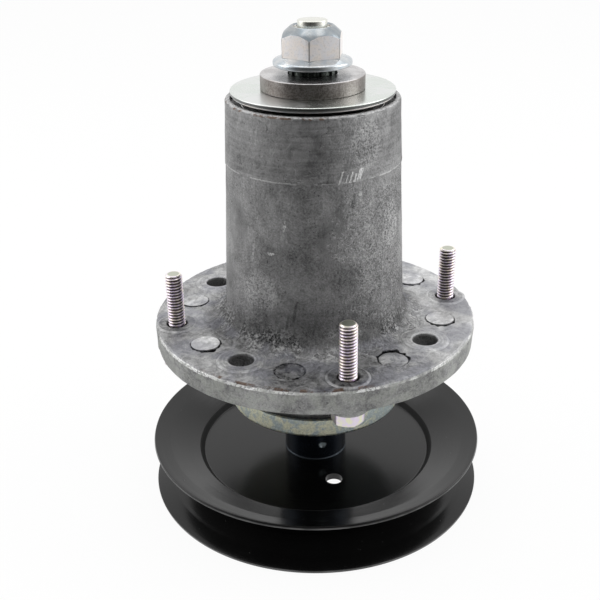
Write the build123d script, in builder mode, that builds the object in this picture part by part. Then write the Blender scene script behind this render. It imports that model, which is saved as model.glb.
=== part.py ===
"""Mower deck spindle: a cast flanged housing, two ball bearings, a splined shaft and a sheet steel pulley.

Millimetres, +Z up along the shaft. The origin is on the shaft's axis, level with the pulley's lower rim, and
the four flange bolts lie on the X and Y axes. The pulley is at the bottom and the blade end at the top.
"""

import os
from math import cos, radians, sin, sqrt, tan

from build123d import *

os.makedirs("parts", exist_ok=True)

# Pulley: two pressed sheets back to back
pulley_radius = 79.375
pulley_height = 25.4
sheet_thickness = 1.6
lip_width = 7.328
lip_angle = 18.0
flank_width = 14.5
flank_angle = 23.5
step_width = 1.9
press_radius = 1.5
web_hole_radius = 4.0
web_hole_circle_radius = 31.5
web_hole_angle = 273.6

# Pulley hub, riveted through both sheets
hub_wall = 5.375
hub_length = 31.3
hub_shoulder = 1.6
hub_rivet_overhang = 0.7
hub_rivet_height = 1.2
hub_chamfer = 0.6
dimple_width = 2.6
dimple_height = 4.6
dimple_depth = 0.7
dimple_rise = 8.6
dimple_angle = 270.8

# Key, washer and nut that hold the pulley
key_width = 4.76
key_length = 24.0
pulley_washer_radius = 17.0
pulley_washer_thickness = 1.5
pulley_nut_height = 7.4
pulley_nut_across_flats = 23.8
pulley_nut_turn = 4.0
pulley_nut_crown = 0.9
shaft_end_proud = 0.5

# Shaft
journal_radius = 12.5
pulley_seat_radius = 9.525
thread_radius = 7.94
pilot_inset = 1.74
pilot_length = 3.2
pilot_proud = 2.2
spline_radius = 10.3
spline_depth = 1.4
spline_teeth = 12
spline_tooth_share = 0.52
spline_proud = 3.3
shoulder_relief = 0.5
shaft_chamfer = 0.5

# Ball bearings
bearing_radius = 31.0
bearing_width = 17.0
bearing_edge_radius = 1.1
ball_radius = 5.75
ball_count = 7
race_radius = 5.95
race_clearance = 0.03
inner_ring_wall = 5.7
outer_ring_wall = 5.8
seal_thickness = 1.0
seal_inset = 0.3
seal_seat_wall = 3.7
seal_lip_gap = 0.15
cage_width = 3.3
cage_below = 6.8
cage_above = 3.0
pocket_clearance = 0.12

# Rings and washers stacked on the shaft
spacer_length = 101.1
spacer_wall = 4.0
spacer_bore_gap = 0.25
lower_collar_length = 4.9
upper_collar_length = 3.0
cup_sheet = 1.5
cup_clearance = 1.3
cup_height = 7.6
cup_bend_radius = 1.6
backing_inset = 1.65
backing_thickness = 0.8
shield_clearance = 0.75
shield_thickness = 1.5
shield_edge_radius = 0.45
blade_washer_radius = 22.05
blade_washer_thickness = 6.4
blade_washer_chamfer = 0.35
blade_bore_gap = 0.15

# Blade nut
nut_height = 15.9
nut_across_flats = 24.2
nut_flange_width = 4.5
nut_flange_edge = 1.5
nut_flange_chamfer = 0.75
nut_flange_rise = 3.9
nut_crown_inset = 2.3
nut_crown_drop = 3.6
nut_crown_shoulder = 1.0
nut_turn = 12.3

# Housing casting
barrel_wall = 6.05
barrel_draft = 2.4
barrel_edge_radius = 1.3
parting_drop = 26.7
parting_step = 0.25
mouth_wall = 1.55
mouth_depth = 2.1
root_fillet = 9.0
flange_radius = 73.6
flange_land_inset = 0.9
flange_thickness = 11.5
flash_drop = 1.1
flash_width = 0.9
rim_bottom_inset = 0.6
rim_edge_radius = 0.9
boss_length = 27.0
boss_wall = 6.8
boss_draft = 2.0
boss_root_fillet = 5.0
boss_edge_radius = 1.2
boss_lip = 2.0
boss_mouth_step = 2.6
seat_shoulder = 2.6
core_draft = 0.9

# Bosses, holes and ejector pin marks round the flange
stud_inset = 9.6
stud_count = 4
stud_hole_gap = 0.78
stud_boss_radius = 9.4
open_hole_inset = 16.4
open_hole_radius = 5.55
open_boss_radius = 10.6
boss_raise = 0.5
boss_draft_angle = 30.0
pad_height = 2.4
pad_radius = 8.6
pin_mark_radius = 6.35
pin_mark_inset = 15.6
pin_mark_raise = 0.35
pin_mark_depth = 0.3
pin_mark_start = 22.5
sunk_pin_marks = (5, 6)

# Flange bolts
bolt_radius = 3.97
bolt_shank_relief = 0.42
bolt_thread_start = 0.02
bolt_length = 38.1
bolt_tip_chamfer = 0.8
bolt_head_across_flats = 12.7
bolt_head_height = 5.3
bolt_head_chamfer = 0.35
bolt_head_turns = (17.0, 44.0, 8.0, 31.3)

# Fits between pieces that touch
fit_gap = 0.02

# Heights up the shaft, each piece standing on the one below
web_mid_z = pulley_height / 2
web_top_z = web_mid_z + sheet_thickness
web_bottom_z = web_mid_z - sheet_thickness
hub_bottom_z = web_bottom_z - hub_rivet_height
hub_top_z = web_top_z + hub_length
cup_top_z = hub_top_z + cup_height
lower_journal_z = hub_top_z + cup_sheet
lower_bearing_z = lower_journal_z + lower_collar_length
lower_seat_z = lower_bearing_z + bearing_width
upper_bearing_z = lower_seat_z + spacer_length
upper_seat_top_z = upper_bearing_z + bearing_width
upper_journal_z = upper_seat_top_z + upper_collar_length
shield_z = upper_journal_z + backing_thickness
blade_washer_z = shield_z + shield_thickness
blade_washer_top_z = blade_washer_z + blade_washer_thickness
nut_z = blade_washer_top_z + spline_proud
nut_top_z = nut_z + nut_height
shaft_top_z = nut_top_z + pilot_proud
pulley_washer_z = hub_bottom_z - pulley_washer_thickness
pulley_nut_z = pulley_washer_z - pulley_nut_height
shaft_bottom_z = pulley_nut_z - shaft_end_proud

# Heights of the housing, which the bearings set
barrel_top_z = upper_seat_top_z + mouth_depth
parting_z = barrel_top_z - parting_drop
boss_end_z = lower_bearing_z - boss_lip
flange_bottom_z = boss_end_z + boss_length
flange_top_z = flange_bottom_z + flange_thickness
pad_z = flange_bottom_z - pad_height
deck_face_z = flange_top_z + boss_raise

# Radii of the bearings
seat_radius = bearing_radius + fit_gap
core_radius = seat_radius - seat_shoulder
ball_circle_radius = (bearing_radius + journal_radius) / 2
inner_shoulder_radius = journal_radius + inner_ring_wall
outer_shoulder_radius = bearing_radius - outer_ring_wall
seal_seat_radius = bearing_radius - seal_seat_wall
cage_inner_radius = ball_circle_radius - cage_width / 2
cage_outer_radius = ball_circle_radius + cage_width / 2

# Radii of the housing, which is cast round the bearings
barrel_top_radius = bearing_radius + barrel_wall
mouth_radius = barrel_top_radius - mouth_wall
boss_radius = bearing_radius + boss_wall
boss_mouth_radius = bearing_radius + boss_mouth_step
flange_land_radius = flange_radius - flange_land_inset
rim_bottom_radius = flange_radius - rim_bottom_inset
stud_circle_radius = flange_radius - stud_inset
open_circle_radius = flange_radius - open_hole_inset
pin_mark_circle_radius = flange_radius - pin_mark_inset
stud_hole_radius = bolt_radius + stud_hole_gap

# Radii of the shaft's rings and nuts
spacer_radius = journal_radius + spacer_wall
shield_radius = mouth_radius - shield_clearance
backing_radius = shield_radius - backing_inset
cup_radius = boss_radius + cup_clearance + cup_sheet
spline_root_radius = spline_radius - spline_depth
nut_flange_radius = nut_across_flats / 2 + nut_flange_width
nut_crown_radius = nut_across_flats / 2 - nut_crown_inset

# Radii of the pulley, from its rim inwards, and of its hub
rim_radius = pulley_radius - sheet_thickness / 2 * sin(radians(lip_angle))
lip_bend_radius = rim_radius - lip_width
flank_start_radius = lip_bend_radius - flank_width
web_radius = flank_start_radius - step_width
hub_radius = pulley_seat_radius + hub_wall
hub_spigot_radius = hub_radius - hub_shoulder
hub_rivet_radius = hub_radius + hub_rivet_overhang


def section_plane(z=0.0):
    """The plane of a turned profile: its x is the radius and its y is the height above z."""
    return Plane(origin=(0, 0, z), x_dir=(1, 0, 0), z_dir=(0, -1, 0))


def ring(inner_radius, outer_radius, z, height, label, edge=0.0, top_edge=0.0):
    """A flat or tubular ring, with its outer edges rounded by edge, or only the upper one by top_edge."""
    with BuildPart() as body:
        with BuildSketch(Plane.XY.offset(z)):
            Circle(outer_radius)
            Circle(inner_radius, mode=Mode.SUBTRACT)
        extrude(amount=height)
        outer_edges = body.edges().filter_by(GeomType.CIRCLE).sort_by(SortBy.RADIUS)[-2:]
        if edge:
            fillet(outer_edges, edge)
        if top_edge:
            fillet(outer_edges.sort_by(Axis.Z)[-1], top_edge)
    body.part.label = label
    return body.part


def hole_pattern(z, stud_radius, open_radius):
    """Circles at height z round the bolt holes, and others round the open holes half way between them."""
    with BuildSketch(Plane.XY.offset(z)) as pattern:
        with PolarLocations(stud_circle_radius, stud_count):
            Circle(stud_radius)
        with PolarLocations(open_circle_radius, stud_count, start_angle=180 / stud_count):
            Circle(open_radius)
    return pattern.sketch


# Housing
barrel_slope = tan(radians(barrel_draft))
upper_part_radius = barrel_top_radius + parting_drop * barrel_slope
lower_part_radius = upper_part_radius - parting_step
barrel_root_radius = lower_part_radius + (parting_z - flange_top_z) * barrel_slope
boss_root_radius = boss_radius + boss_length * tan(radians(boss_draft))
core_mid_z = (lower_seat_z + upper_bearing_z) / 2
core_mid_radius = core_radius - (upper_bearing_z - core_mid_z) * tan(radians(core_draft))

barrel_rim = (barrel_top_radius, barrel_top_z)
barrel_root = (barrel_root_radius, flange_top_z)
rim_corner = (rim_bottom_radius, flange_bottom_z)
boss_root = (boss_root_radius, flange_bottom_z)
boss_rim = (boss_radius, boss_end_z)
rounded_corners = {
    barrel_rim: barrel_edge_radius,
    barrel_root: root_fillet,
    rim_corner: rim_edge_radius,
    boss_root: boss_root_fillet,
    boss_rim: boss_edge_radius,
}

with BuildPart() as spindle_housing:
    with BuildSketch(section_plane()) as housing_section:
        with BuildLine():
            Polyline(
                (mouth_radius, upper_seat_top_z),
                (mouth_radius, barrel_top_z),
                barrel_rim,
                (upper_part_radius, parting_z),
                (lower_part_radius, parting_z),
                barrel_root,
                (flange_land_radius, flange_top_z),
                (flange_radius, flange_top_z - flash_drop),
                (flange_radius, flange_top_z - flash_drop - flash_width),
                rim_corner,
                boss_root,
                boss_rim,
                (boss_mouth_radius, boss_end_z),
                (boss_mouth_radius, lower_bearing_z),
                (seat_radius, lower_bearing_z),
                (seat_radius, lower_seat_z),
                (core_radius, lower_seat_z),
                (core_mid_radius, core_mid_z),
                (core_radius, upper_bearing_z),
                (seat_radius, upper_bearing_z),
                (seat_radius, upper_seat_top_z),
                close=True,
            )
        make_face()
        for corner, radius in rounded_corners.items():
            fillet(housing_section.vertices().sort_by_distance(Vector(*corner))[0], radius)
    revolve(axis=Axis.Z)

    # Bosses go through the flange and stand a little proud of its upper face
    extrude(hole_pattern(flange_bottom_z, stud_boss_radius, open_boss_radius), amount=flange_thickness)
    raised_bosses = hole_pattern(flange_top_z, stud_boss_radius, open_boss_radius)
    extrude(raised_bosses, amount=boss_raise, taper=boss_draft_angle)

    # Pads under the flange, where the bolt heads bear
    extrude(hole_pattern(pad_z, pad_radius, pad_radius), amount=pad_height + rim_edge_radius)

    # Ejector pin marks, half way between the holes: most stand proud and two are sunk
    for mark in range(2 * stud_count):
        angle = pin_mark_start + mark * 180 / stud_count
        centre = Vector(pin_mark_circle_radius, 0).rotate(Axis.Z, angle)
        with BuildSketch(Plane.XY.offset(flange_top_z)):
            with Locations((centre.X, centre.Y)):
                Circle(pin_mark_radius)
        if mark in sunk_pin_marks:
            extrude(amount=-pin_mark_depth, mode=Mode.SUBTRACT)
        else:
            extrude(amount=pin_mark_raise)

    # Holes for the bolts, and the open ones between them
    holes = hole_pattern(pad_z, stud_hole_radius, open_hole_radius)
    extrude(holes, amount=deck_face_z - pad_z, mode=Mode.SUBTRACT)
spindle_housing.part.label = "spindle_housing"


# Bearings
def bearing_outer_ring(z, label):
    """The outer ring, with a race for the balls and a stepped seat for a seal at each face."""
    middle = bearing_width / 2
    seat_depth = seal_inset + seal_thickness
    race_centre = ball_circle_radius + ball_radius + race_clearance - race_radius
    with BuildPart() as body:
        with BuildSketch(section_plane(z)) as section:
            with BuildLine():
                Polyline(
                    (seal_seat_radius, 0),
                    (bearing_radius, 0),
                    (bearing_radius, bearing_width),
                    (seal_seat_radius, bearing_width),
                    (seal_seat_radius, bearing_width - seat_depth),
                    (outer_shoulder_radius, bearing_width - seat_depth),
                    (outer_shoulder_radius, seat_depth),
                    (seal_seat_radius, seat_depth),
                    close=True,
                )
            make_face()
            fillet(section.vertices().group_by(Axis.X)[-1], bearing_edge_radius)
            with Locations((race_centre, middle)):
                Circle(race_radius, mode=Mode.SUBTRACT)
        revolve(axis=Axis.Z)
    body.part.label = label
    return body.part


def bearing_inner_ring(z, label):
    """The inner ring, a running gap under the balls."""
    middle = bearing_width / 2
    race_centre = ball_circle_radius - ball_radius - race_clearance + race_radius
    bore = journal_radius + fit_gap
    with BuildPart() as body:
        with BuildSketch(section_plane(z)) as section:
            with BuildLine():
                Polyline(
                    (bore, 0),
                    (inner_shoulder_radius, 0),
                    (inner_shoulder_radius, bearing_width),
                    (bore, bearing_width),
                    close=True,
                )
            make_face()
            fillet(section.vertices().group_by(Axis.X)[0], bearing_edge_radius)
            with Locations((race_centre, middle)):
                Circle(race_radius, mode=Mode.SUBTRACT)
        revolve(axis=Axis.Z)
    body.part.label = label
    return body.part


def bearing_balls(z, label):
    """The balls, evenly spaced round the ball circle."""
    with BuildPart(Plane.XY.offset(z + bearing_width / 2)) as body:
        with PolarLocations(ball_circle_radius, ball_count):
            Sphere(ball_radius)
    body.part.label = label
    return body.part


def bearing_cage(z, label):
    """A crown cage: a ring below the balls, with fingers that reach up between them."""
    middle_z = z + bearing_width / 2
    with BuildPart(Plane.XY.offset(middle_z)) as body:
        with BuildSketch(Plane.XY.offset(middle_z - cage_below)):
            Circle(cage_outer_radius)
            Circle(cage_inner_radius, mode=Mode.SUBTRACT)
        extrude(amount=cage_below + cage_above)
        with PolarLocations(ball_circle_radius, ball_count):
            Sphere(ball_radius + pocket_clearance, mode=Mode.SUBTRACT)
    body.part.label = label
    return body.part


def bearing_seal(z, label):
    """A seal disc in the outer ring's seat, its lip just clear of the inner ring."""
    lip = inner_shoulder_radius + seal_lip_gap
    return ring(lip, seal_seat_radius - fit_gap, z, seal_thickness, label)


bearing_parts = []
for name, z in (("lower_bearing", lower_bearing_z), ("upper_bearing", upper_bearing_z)):
    bearing_parts += [
        bearing_outer_ring(z, f"{name}_outer_ring"),
        bearing_inner_ring(z, f"{name}_inner_ring"),
        bearing_balls(z, f"{name}_balls"),
        bearing_cage(z, f"{name}_cage"),
        bearing_seal(z + seal_inset, f"{name}_bottom_seal"),
        bearing_seal(z + bearing_width - seal_inset - seal_thickness, f"{name}_top_seal"),
    ]

# Shaft: a turned bar with splines for the blade, a keyway for the pulley, two threads and a plain tip
key_seat_depth = key_width / 2
key_z = (hub_bottom_z + hub_top_z - key_length) / 2
pulley_seat_z = hub_bottom_z + shoulder_relief
pilot_radius = thread_radius - pilot_inset
thread_end_z = shaft_top_z - pilot_length

with BuildPart() as spindle_shaft:
    with BuildSketch(section_plane()) as shaft_section:
        with BuildLine():
            Polyline(
                (0, shaft_bottom_z),
                (thread_radius - shaft_chamfer, shaft_bottom_z),
                (thread_radius, shaft_bottom_z + shaft_chamfer),
                (thread_radius, pulley_seat_z),
                (pulley_seat_radius, pulley_seat_z),
                (pulley_seat_radius, lower_journal_z),
                (journal_radius - shaft_chamfer, lower_journal_z),
                (journal_radius, lower_journal_z + shaft_chamfer),
                (journal_radius, upper_journal_z - shaft_chamfer),
                (journal_radius - shaft_chamfer, upper_journal_z),
                (spline_radius, upper_journal_z),
                (spline_radius, nut_z - shaft_chamfer),
                (spline_radius - shaft_chamfer, nut_z),
                (thread_radius, nut_z),
                (thread_radius, thread_end_z),
                (pilot_radius, thread_end_z),
                (pilot_radius, shaft_top_z - shaft_chamfer),
                (pilot_radius - shaft_chamfer, shaft_top_z),
                (0, shaft_top_z),
                close=True,
            )
        make_face()
    revolve(axis=Axis.Z)

    # Spline gaps, with flanks that narrow towards the root
    gap_angle = 360 / spline_teeth * (1 - spline_tooth_share)
    gap_outer = 2 * (spline_radius + fit_gap) * sin(radians(gap_angle / 2))
    gap_inner = 2 * spline_root_radius * sin(radians(gap_angle / 2)) * spline_tooth_share
    with BuildSketch(Plane.XY.offset(upper_journal_z)):
        with PolarLocations(0, spline_teeth):
            with BuildLine():
                Polyline(
                    (spline_root_radius, -gap_inner / 2),
                    (spline_radius + shaft_chamfer, -gap_outer / 2),
                    (spline_radius + shaft_chamfer, gap_outer / 2),
                    (spline_root_radius, gap_inner / 2),
                    close=True,
                )
            make_face()
    extrude(amount=nut_z - upper_journal_z, mode=Mode.SUBTRACT)

    # Keyway
    with BuildSketch(Plane.XY.offset(key_z)):
        with Locations((pulley_seat_radius, 0)):
            Rectangle(2 * key_seat_depth, key_width)
    extrude(amount=key_length, mode=Mode.SUBTRACT)
spindle_shaft.part.label = "spindle_shaft"

# Rings on the shaft
journal_bore = journal_radius + fit_gap
spacer_bore = journal_radius + spacer_bore_gap
spline_bore = spline_radius + blade_bore_gap
bearing_spacer = ring(spacer_bore, spacer_radius, lower_seat_z, spacer_length, "bearing_spacer")
lower_collar = ring(journal_bore, spacer_radius, lower_journal_z, lower_collar_length, "lower_collar")
upper_collar = ring(journal_bore, spacer_radius, upper_seat_top_z, upper_collar_length, "upper_collar")
shield_backing_washer = ring(
    spline_bore, backing_radius, upper_journal_z, backing_thickness, "shield_backing_washer"
)
blade_end_shield = ring(
    spline_bore, shield_radius, shield_z, shield_thickness, "blade_end_shield", top_edge=shield_edge_radius
)
blade_washer = ring(
    spline_bore,
    blade_washer_radius,
    blade_washer_z,
    blade_washer_thickness,
    "blade_washer",
    edge=blade_washer_chamfer,
)
pulley_washer = ring(
    thread_radius + blade_bore_gap,
    pulley_washer_radius,
    pulley_washer_z,
    pulley_washer_thickness,
    "pulley_washer",
)

# Lower dust cup: a pressed cup whose wall reaches up round the housing's lower boss
cup_wall_radius = cup_radius - cup_sheet / 2
cup_floor_z = hub_top_z + cup_sheet / 2
with BuildPart() as lower_dust_cup:
    with BuildSketch(section_plane()):
        with BuildLine():
            FilletPolyline(
                (pulley_seat_radius + fit_gap, cup_floor_z),
                (cup_wall_radius, cup_floor_z),
                (cup_wall_radius, cup_top_z),
                radius=cup_bend_radius,
            )
        trace(line_width=cup_sheet)
    revolve(axis=Axis.Z)
lower_dust_cup.part.label = "lower_dust_cup"


# Pulley sheets
def pulley_half(side, label):
    """One pressed sheet: flat web, short step, conical flank and lip. side is 1 above and -1 below."""
    half = sheet_thickness / 2
    rim_rise = web_mid_z - half * cos(radians(lip_angle))
    bend_rise = rim_rise - lip_width * tan(radians(lip_angle))
    flank_rise = bend_rise - flank_width * tan(radians(flank_angle))
    with BuildPart() as body:
        with BuildSketch(section_plane(web_mid_z)):
            with BuildLine():
                FilletPolyline(
                    (hub_spigot_radius + fit_gap, side * half),
                    (web_radius, side * half),
                    (flank_start_radius, side * flank_rise),
                    (lip_bend_radius, side * bend_rise),
                    (rim_radius, side * rim_rise),
                    radius=press_radius,
                )
            trace(line_width=sheet_thickness)
        revolve(axis=Axis.Z)
        with BuildSketch(Plane.XY.offset(web_mid_z)):
            with PolarLocations(web_hole_circle_radius, 1, start_angle=web_hole_angle):
                Circle(web_hole_radius)
        extrude(amount=side * sheet_thickness, mode=Mode.SUBTRACT)
    body.part.label = label
    return body.part


pulley_upper_half = pulley_half(1, "pulley_upper_half")
pulley_lower_half = pulley_half(-1, "pulley_lower_half")

# Hub: its spigot goes through both sheets and is riveted over under the lower one
hub_bore = pulley_seat_radius + fit_gap
with BuildPart() as pulley_hub:
    with BuildSketch(section_plane()):
        with BuildLine():
            Polyline(
                (hub_bore, hub_bottom_z),
                (hub_rivet_radius - hub_chamfer, hub_bottom_z),
                (hub_rivet_radius, hub_bottom_z + hub_chamfer),
                (hub_rivet_radius, web_bottom_z),
                (hub_spigot_radius, web_bottom_z),
                (hub_spigot_radius, web_top_z),
                (hub_radius, web_top_z),
                (hub_radius, hub_top_z - hub_chamfer),
                (hub_radius - hub_chamfer, hub_top_z),
                (hub_bore, hub_top_z),
                close=True,
            )
        make_face()
    revolve(axis=Axis.Z)

    # Keyway through the whole bore
    with BuildSketch(Plane.XY.offset(hub_bottom_z)):
        with Locations((pulley_seat_radius, 0)):
            Rectangle(2 * key_seat_depth + 2 * fit_gap, key_width + 2 * fit_gap)
    extrude(amount=hub_top_z - hub_bottom_z, mode=Mode.SUBTRACT)

    # A small upright punch mark in the hub's side
    mark_direction = Vector(1, 0, 0).rotate(Axis.Z, dimple_angle)
    mark_origin = mark_direction * (hub_radius - dimple_depth) + Vector(0, 0, web_top_z + dimple_rise)
    with BuildSketch(Plane(origin=mark_origin, x_dir=(0, 0, 1), z_dir=mark_direction)):
        SlotOverall(dimple_height, dimple_width)
    extrude(amount=2 * dimple_depth, mode=Mode.SUBTRACT)
pulley_hub.part.label = "pulley_hub"

with BuildPart() as pulley_key:
    with BuildSketch(Plane.XY.offset(key_z)):
        with Locations((pulley_seat_radius, 0)):
            Rectangle(2 * key_seat_depth - fit_gap, key_width - fit_gap)
    extrude(amount=key_length)
pulley_key.part.label = "pulley_key"

# Pulley nut: a thin hex nut with both ends crowned
nut_bore = thread_radius + fit_gap
pulley_nut_corner = pulley_nut_across_flats / sqrt(3)
pulley_nut_face = pulley_nut_across_flats / 2 - pulley_nut_crown
pulley_nut_outside = pulley_nut_corner + pulley_nut_crown
pulley_nut_shoulder = 2 * pulley_nut_crown
with BuildPart() as pulley_nut:
    with BuildSketch(Plane.XY.offset(pulley_nut_z)):
        RegularPolygon(pulley_nut_corner, 6, rotation=pulley_nut_turn)
        Circle(nut_bore, mode=Mode.SUBTRACT)
    extrude(amount=pulley_nut_height)
    with BuildSketch(section_plane(pulley_nut_z)):
        with BuildLine():
            Polyline(
                (0, 0),
                (pulley_nut_face, 0),
                (pulley_nut_outside, pulley_nut_shoulder),
                (pulley_nut_outside, pulley_nut_height - pulley_nut_shoulder),
                (pulley_nut_face, pulley_nut_height),
                (0, pulley_nut_height),
                close=True,
            )
        make_face()
    revolve(axis=Axis.Z, mode=Mode.INTERSECT)
pulley_nut.part.label = "pulley_nut"

# Blade nut: a hex with a domed crown, growing out of a conical flange
nut_corner_radius = nut_across_flats / sqrt(3)
with BuildPart() as blade_nut:
    with BuildSketch(Plane.XY.offset(nut_z)):
        RegularPolygon(nut_corner_radius, 6, rotation=nut_turn)
    extrude(amount=nut_height)
    with BuildSketch(section_plane(nut_z)):
        with BuildLine():
            Polyline(
                (0, 0),
                (nut_flange_radius, 0),
                (nut_flange_radius, nut_height - nut_crown_drop - nut_crown_shoulder),
                (nut_crown_radius, nut_height),
                (0, nut_height),
                close=True,
            )
        make_face()
    revolve(axis=Axis.Z, mode=Mode.INTERSECT)
    with BuildSketch(section_plane(nut_z)):
        with BuildLine():
            Polyline(
                (0, 0),
                (nut_flange_radius - nut_flange_chamfer, 0),
                (nut_flange_radius, nut_flange_chamfer),
                (nut_flange_radius, nut_flange_edge),
                (nut_across_flats / 2, nut_flange_rise),
                (0, nut_flange_rise),
                close=True,
            )
        make_face()
    revolve(axis=Axis.Z)
    with BuildSketch(Plane.XY.offset(nut_z)):
        Circle(nut_bore)
    extrude(amount=nut_height, mode=Mode.SUBTRACT)
blade_nut.part.label = "blade_nut"

# Flange bolts: hex heads below, shanks as thin as a thread's blank, and threads above the deck face
bolt_corner_radius = bolt_head_across_flats / sqrt(3)
head_z = pad_z - bolt_head_height
thread_z = deck_face_z - bolt_thread_start
bolt_tip_z = pad_z + bolt_length
with BuildPart() as flange_bolts:
    for index, turn in enumerate(bolt_head_turns):
        centre = Vector(stud_circle_radius, 0, 0).rotate(Axis.Z, index * 360 / stud_count)
        with BuildSketch(Plane.XY.offset(head_z)):
            with Locations((centre.X, centre.Y)):
                RegularPolygon(bolt_corner_radius, 6, rotation=turn)
        extrude(amount=bolt_head_height)
        with BuildSketch(Plane.XY.offset(pad_z)):
            with Locations((centre.X, centre.Y)):
                Circle(bolt_radius - bolt_shank_relief)
        extrude(amount=thread_z - pad_z)
        with BuildSketch(Plane.XY.offset(thread_z)):
            with Locations((centre.X, centre.Y)):
                Circle(bolt_radius)
        extrude(amount=bolt_tip_z - thread_z)
    chamfer(flange_bolts.faces().sort_by(Axis.Z)[-stud_count:].edges(), bolt_tip_chamfer)
    chamfer(flange_bolts.faces().sort_by(Axis.Z)[:stud_count].edges(), bolt_head_chamfer)
flange_bolts.part.label = "flange_bolts"

finished_parts = [
    spindle_housing.part,
    *bearing_parts,
    spindle_shaft.part,
    bearing_spacer,
    lower_collar,
    upper_collar,
    shield_backing_washer,
    blade_end_shield,
    blade_washer,
    blade_nut.part,
    lower_dust_cup.part,
    pulley_upper_half,
    pulley_lower_half,
    pulley_hub.part,
    pulley_key.part,
    pulley_washer,
    pulley_nut.part,
    flange_bolts.part,
]
for part in finished_parts:
    export_step(part, f"parts/{part.label}.step")
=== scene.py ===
"""Mower deck spindle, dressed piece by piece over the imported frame.

The cast housing, nuts, threaded bolts, washers and pressed sheets are modelled here with soft edges,
threads, cast roughness and marks, and every piece has its finish. Sizes are in millimetres until a mesh
is made. The shaft is the z axis, the bolts lie on the x and y axes, and the camera looks from near -y.
"""

from math import ceil, cos, pi, radians, sin, tan

import bpy
import numpy as np
from mathutils import Matrix, Vector, noise


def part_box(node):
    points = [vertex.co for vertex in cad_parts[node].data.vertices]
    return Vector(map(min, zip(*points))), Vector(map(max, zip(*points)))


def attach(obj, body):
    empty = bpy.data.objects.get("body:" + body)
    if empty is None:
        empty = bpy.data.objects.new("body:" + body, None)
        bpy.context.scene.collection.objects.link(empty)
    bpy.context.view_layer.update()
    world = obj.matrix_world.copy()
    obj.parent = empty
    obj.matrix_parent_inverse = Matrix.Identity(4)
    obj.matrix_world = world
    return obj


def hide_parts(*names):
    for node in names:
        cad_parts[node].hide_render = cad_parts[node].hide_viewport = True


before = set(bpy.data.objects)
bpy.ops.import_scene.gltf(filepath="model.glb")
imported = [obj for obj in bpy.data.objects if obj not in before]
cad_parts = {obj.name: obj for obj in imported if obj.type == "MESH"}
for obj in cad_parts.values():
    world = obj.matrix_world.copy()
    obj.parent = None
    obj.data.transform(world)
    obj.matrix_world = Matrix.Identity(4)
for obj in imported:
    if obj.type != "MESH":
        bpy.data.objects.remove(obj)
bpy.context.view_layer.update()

MM = 0.001


# Camera
LENS = 56.59
SENSOR = 36.0
CAMERA_DISTANCE = 438.574
CAMERA_ELEVATION = radians(25.793)
CAMERA_AZIMUTH = radians(-101.15)
CAMERA_ROLL = radians(0.888)
CAMERA_SIDEWAYS = -6.721
CAMERA_TARGET_HEIGHT = 93.522


class Seat:
    """Where a CAD piece sits: its outer radius about the shaft, its bottom and its top, in millimetres."""

    def __init__(self, node):
        low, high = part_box(node)
        self.radius = high.x / MM
        self.bottom = low.z / MM
        self.top = high.z / MM


class Form:
    """Points in millimetres and the faces between them."""

    def __init__(self, points, faces):
        self.points = points
        self.faces = faces

    def moved(self, x=0.0, y=0.0, z=0.0):
        return Form(self.points + np.array([x, y, z]), self.faces)

    def __add__(self, other):
        shift = len(self.points)
        faces = self.faces + [tuple(corner + shift for corner in face) for face in other.faces]
        return Form(np.vstack([self.points, other.points]), faces)

    def mesh(self, name):
        made = bpy.data.meshes.new(name)
        made.from_pydata((self.points * MM).tolist(), [], self.faces)
        return made


def joined(forms):
    """Several forms as one."""
    whole = forms[0]
    for form in forms[1:]:
        whole = whole + form
    return whole


def polar(radius, angle):
    """The x and y of a point at a radius and an angle in degrees about the shaft."""
    return radius * cos(radians(angle)), radius * sin(radians(angle))


def smooth_step(value, start, end):
    """0 before start and 1 after end, with a smooth rise between."""
    share = np.clip((value - start) / (end - start), 0, 1)
    return share * share * (3 - 2 * share)


def soft_min(a, b, width):
    """The smaller of two, rounded over a width where they cross."""
    share = np.clip(0.5 + 0.5 * (b - a) / width, 0, 1)
    return b + (a - b) * share - width * share * (1 - share)


def lumps(angle, radius, height, size, seed=0):
    """Smooth noise between -1 and 1 over a surface, with lumps of about a size in millimetres."""
    places = np.stack([radius * np.cos(angle), radius * np.sin(angle), height], axis=-1) / size + 17.3 * seed
    flat = places.reshape(-1, 3)
    values = np.fromiter((noise.noise(Vector(place)) for place in flat), float, len(flat))
    return values.reshape(radius.shape)


def rounded(corners, step=12.0, closed=True):
    """An outline through (radius, height, rounding) corners, each arc cut into steps of some degrees."""
    points = []
    count = len(corners)
    for index in range(count):
        here = np.array(corners[index][:2], float)
        rounding = corners[index][2] if len(corners[index]) > 2 else 0.0
        if not closed and index in (0, count - 1):
            points.append(here)
            continue
        back = np.array(corners[index - 1][:2], float) - here
        ahead = np.array(corners[(index + 1) % count][:2], float) - here
        back /= np.linalg.norm(back)
        ahead /= np.linalg.norm(ahead)
        opening = np.arccos(np.clip(back @ ahead, -1, 1))
        if rounding == 0.0 or opening > radians(179):
            points.append(here)
            continue
        reach = rounding / tan(opening / 2)
        middle = here + (back + ahead) / np.linalg.norm(back + ahead) * rounding / sin(opening / 2)
        start = here + back * reach - middle
        end = here + ahead * reach - middle
        parts = max(2, ceil((180 - np.degrees(opening)) / step))
        for part in range(parts + 1):
            share = part / parts
            turn = sin(pi - opening)
            mixed = (sin((1 - share) * (pi - opening)) * start + sin(share * (pi - opening)) * end) / turn
            points.append(middle + mixed)
    return np.array(points)


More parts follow.
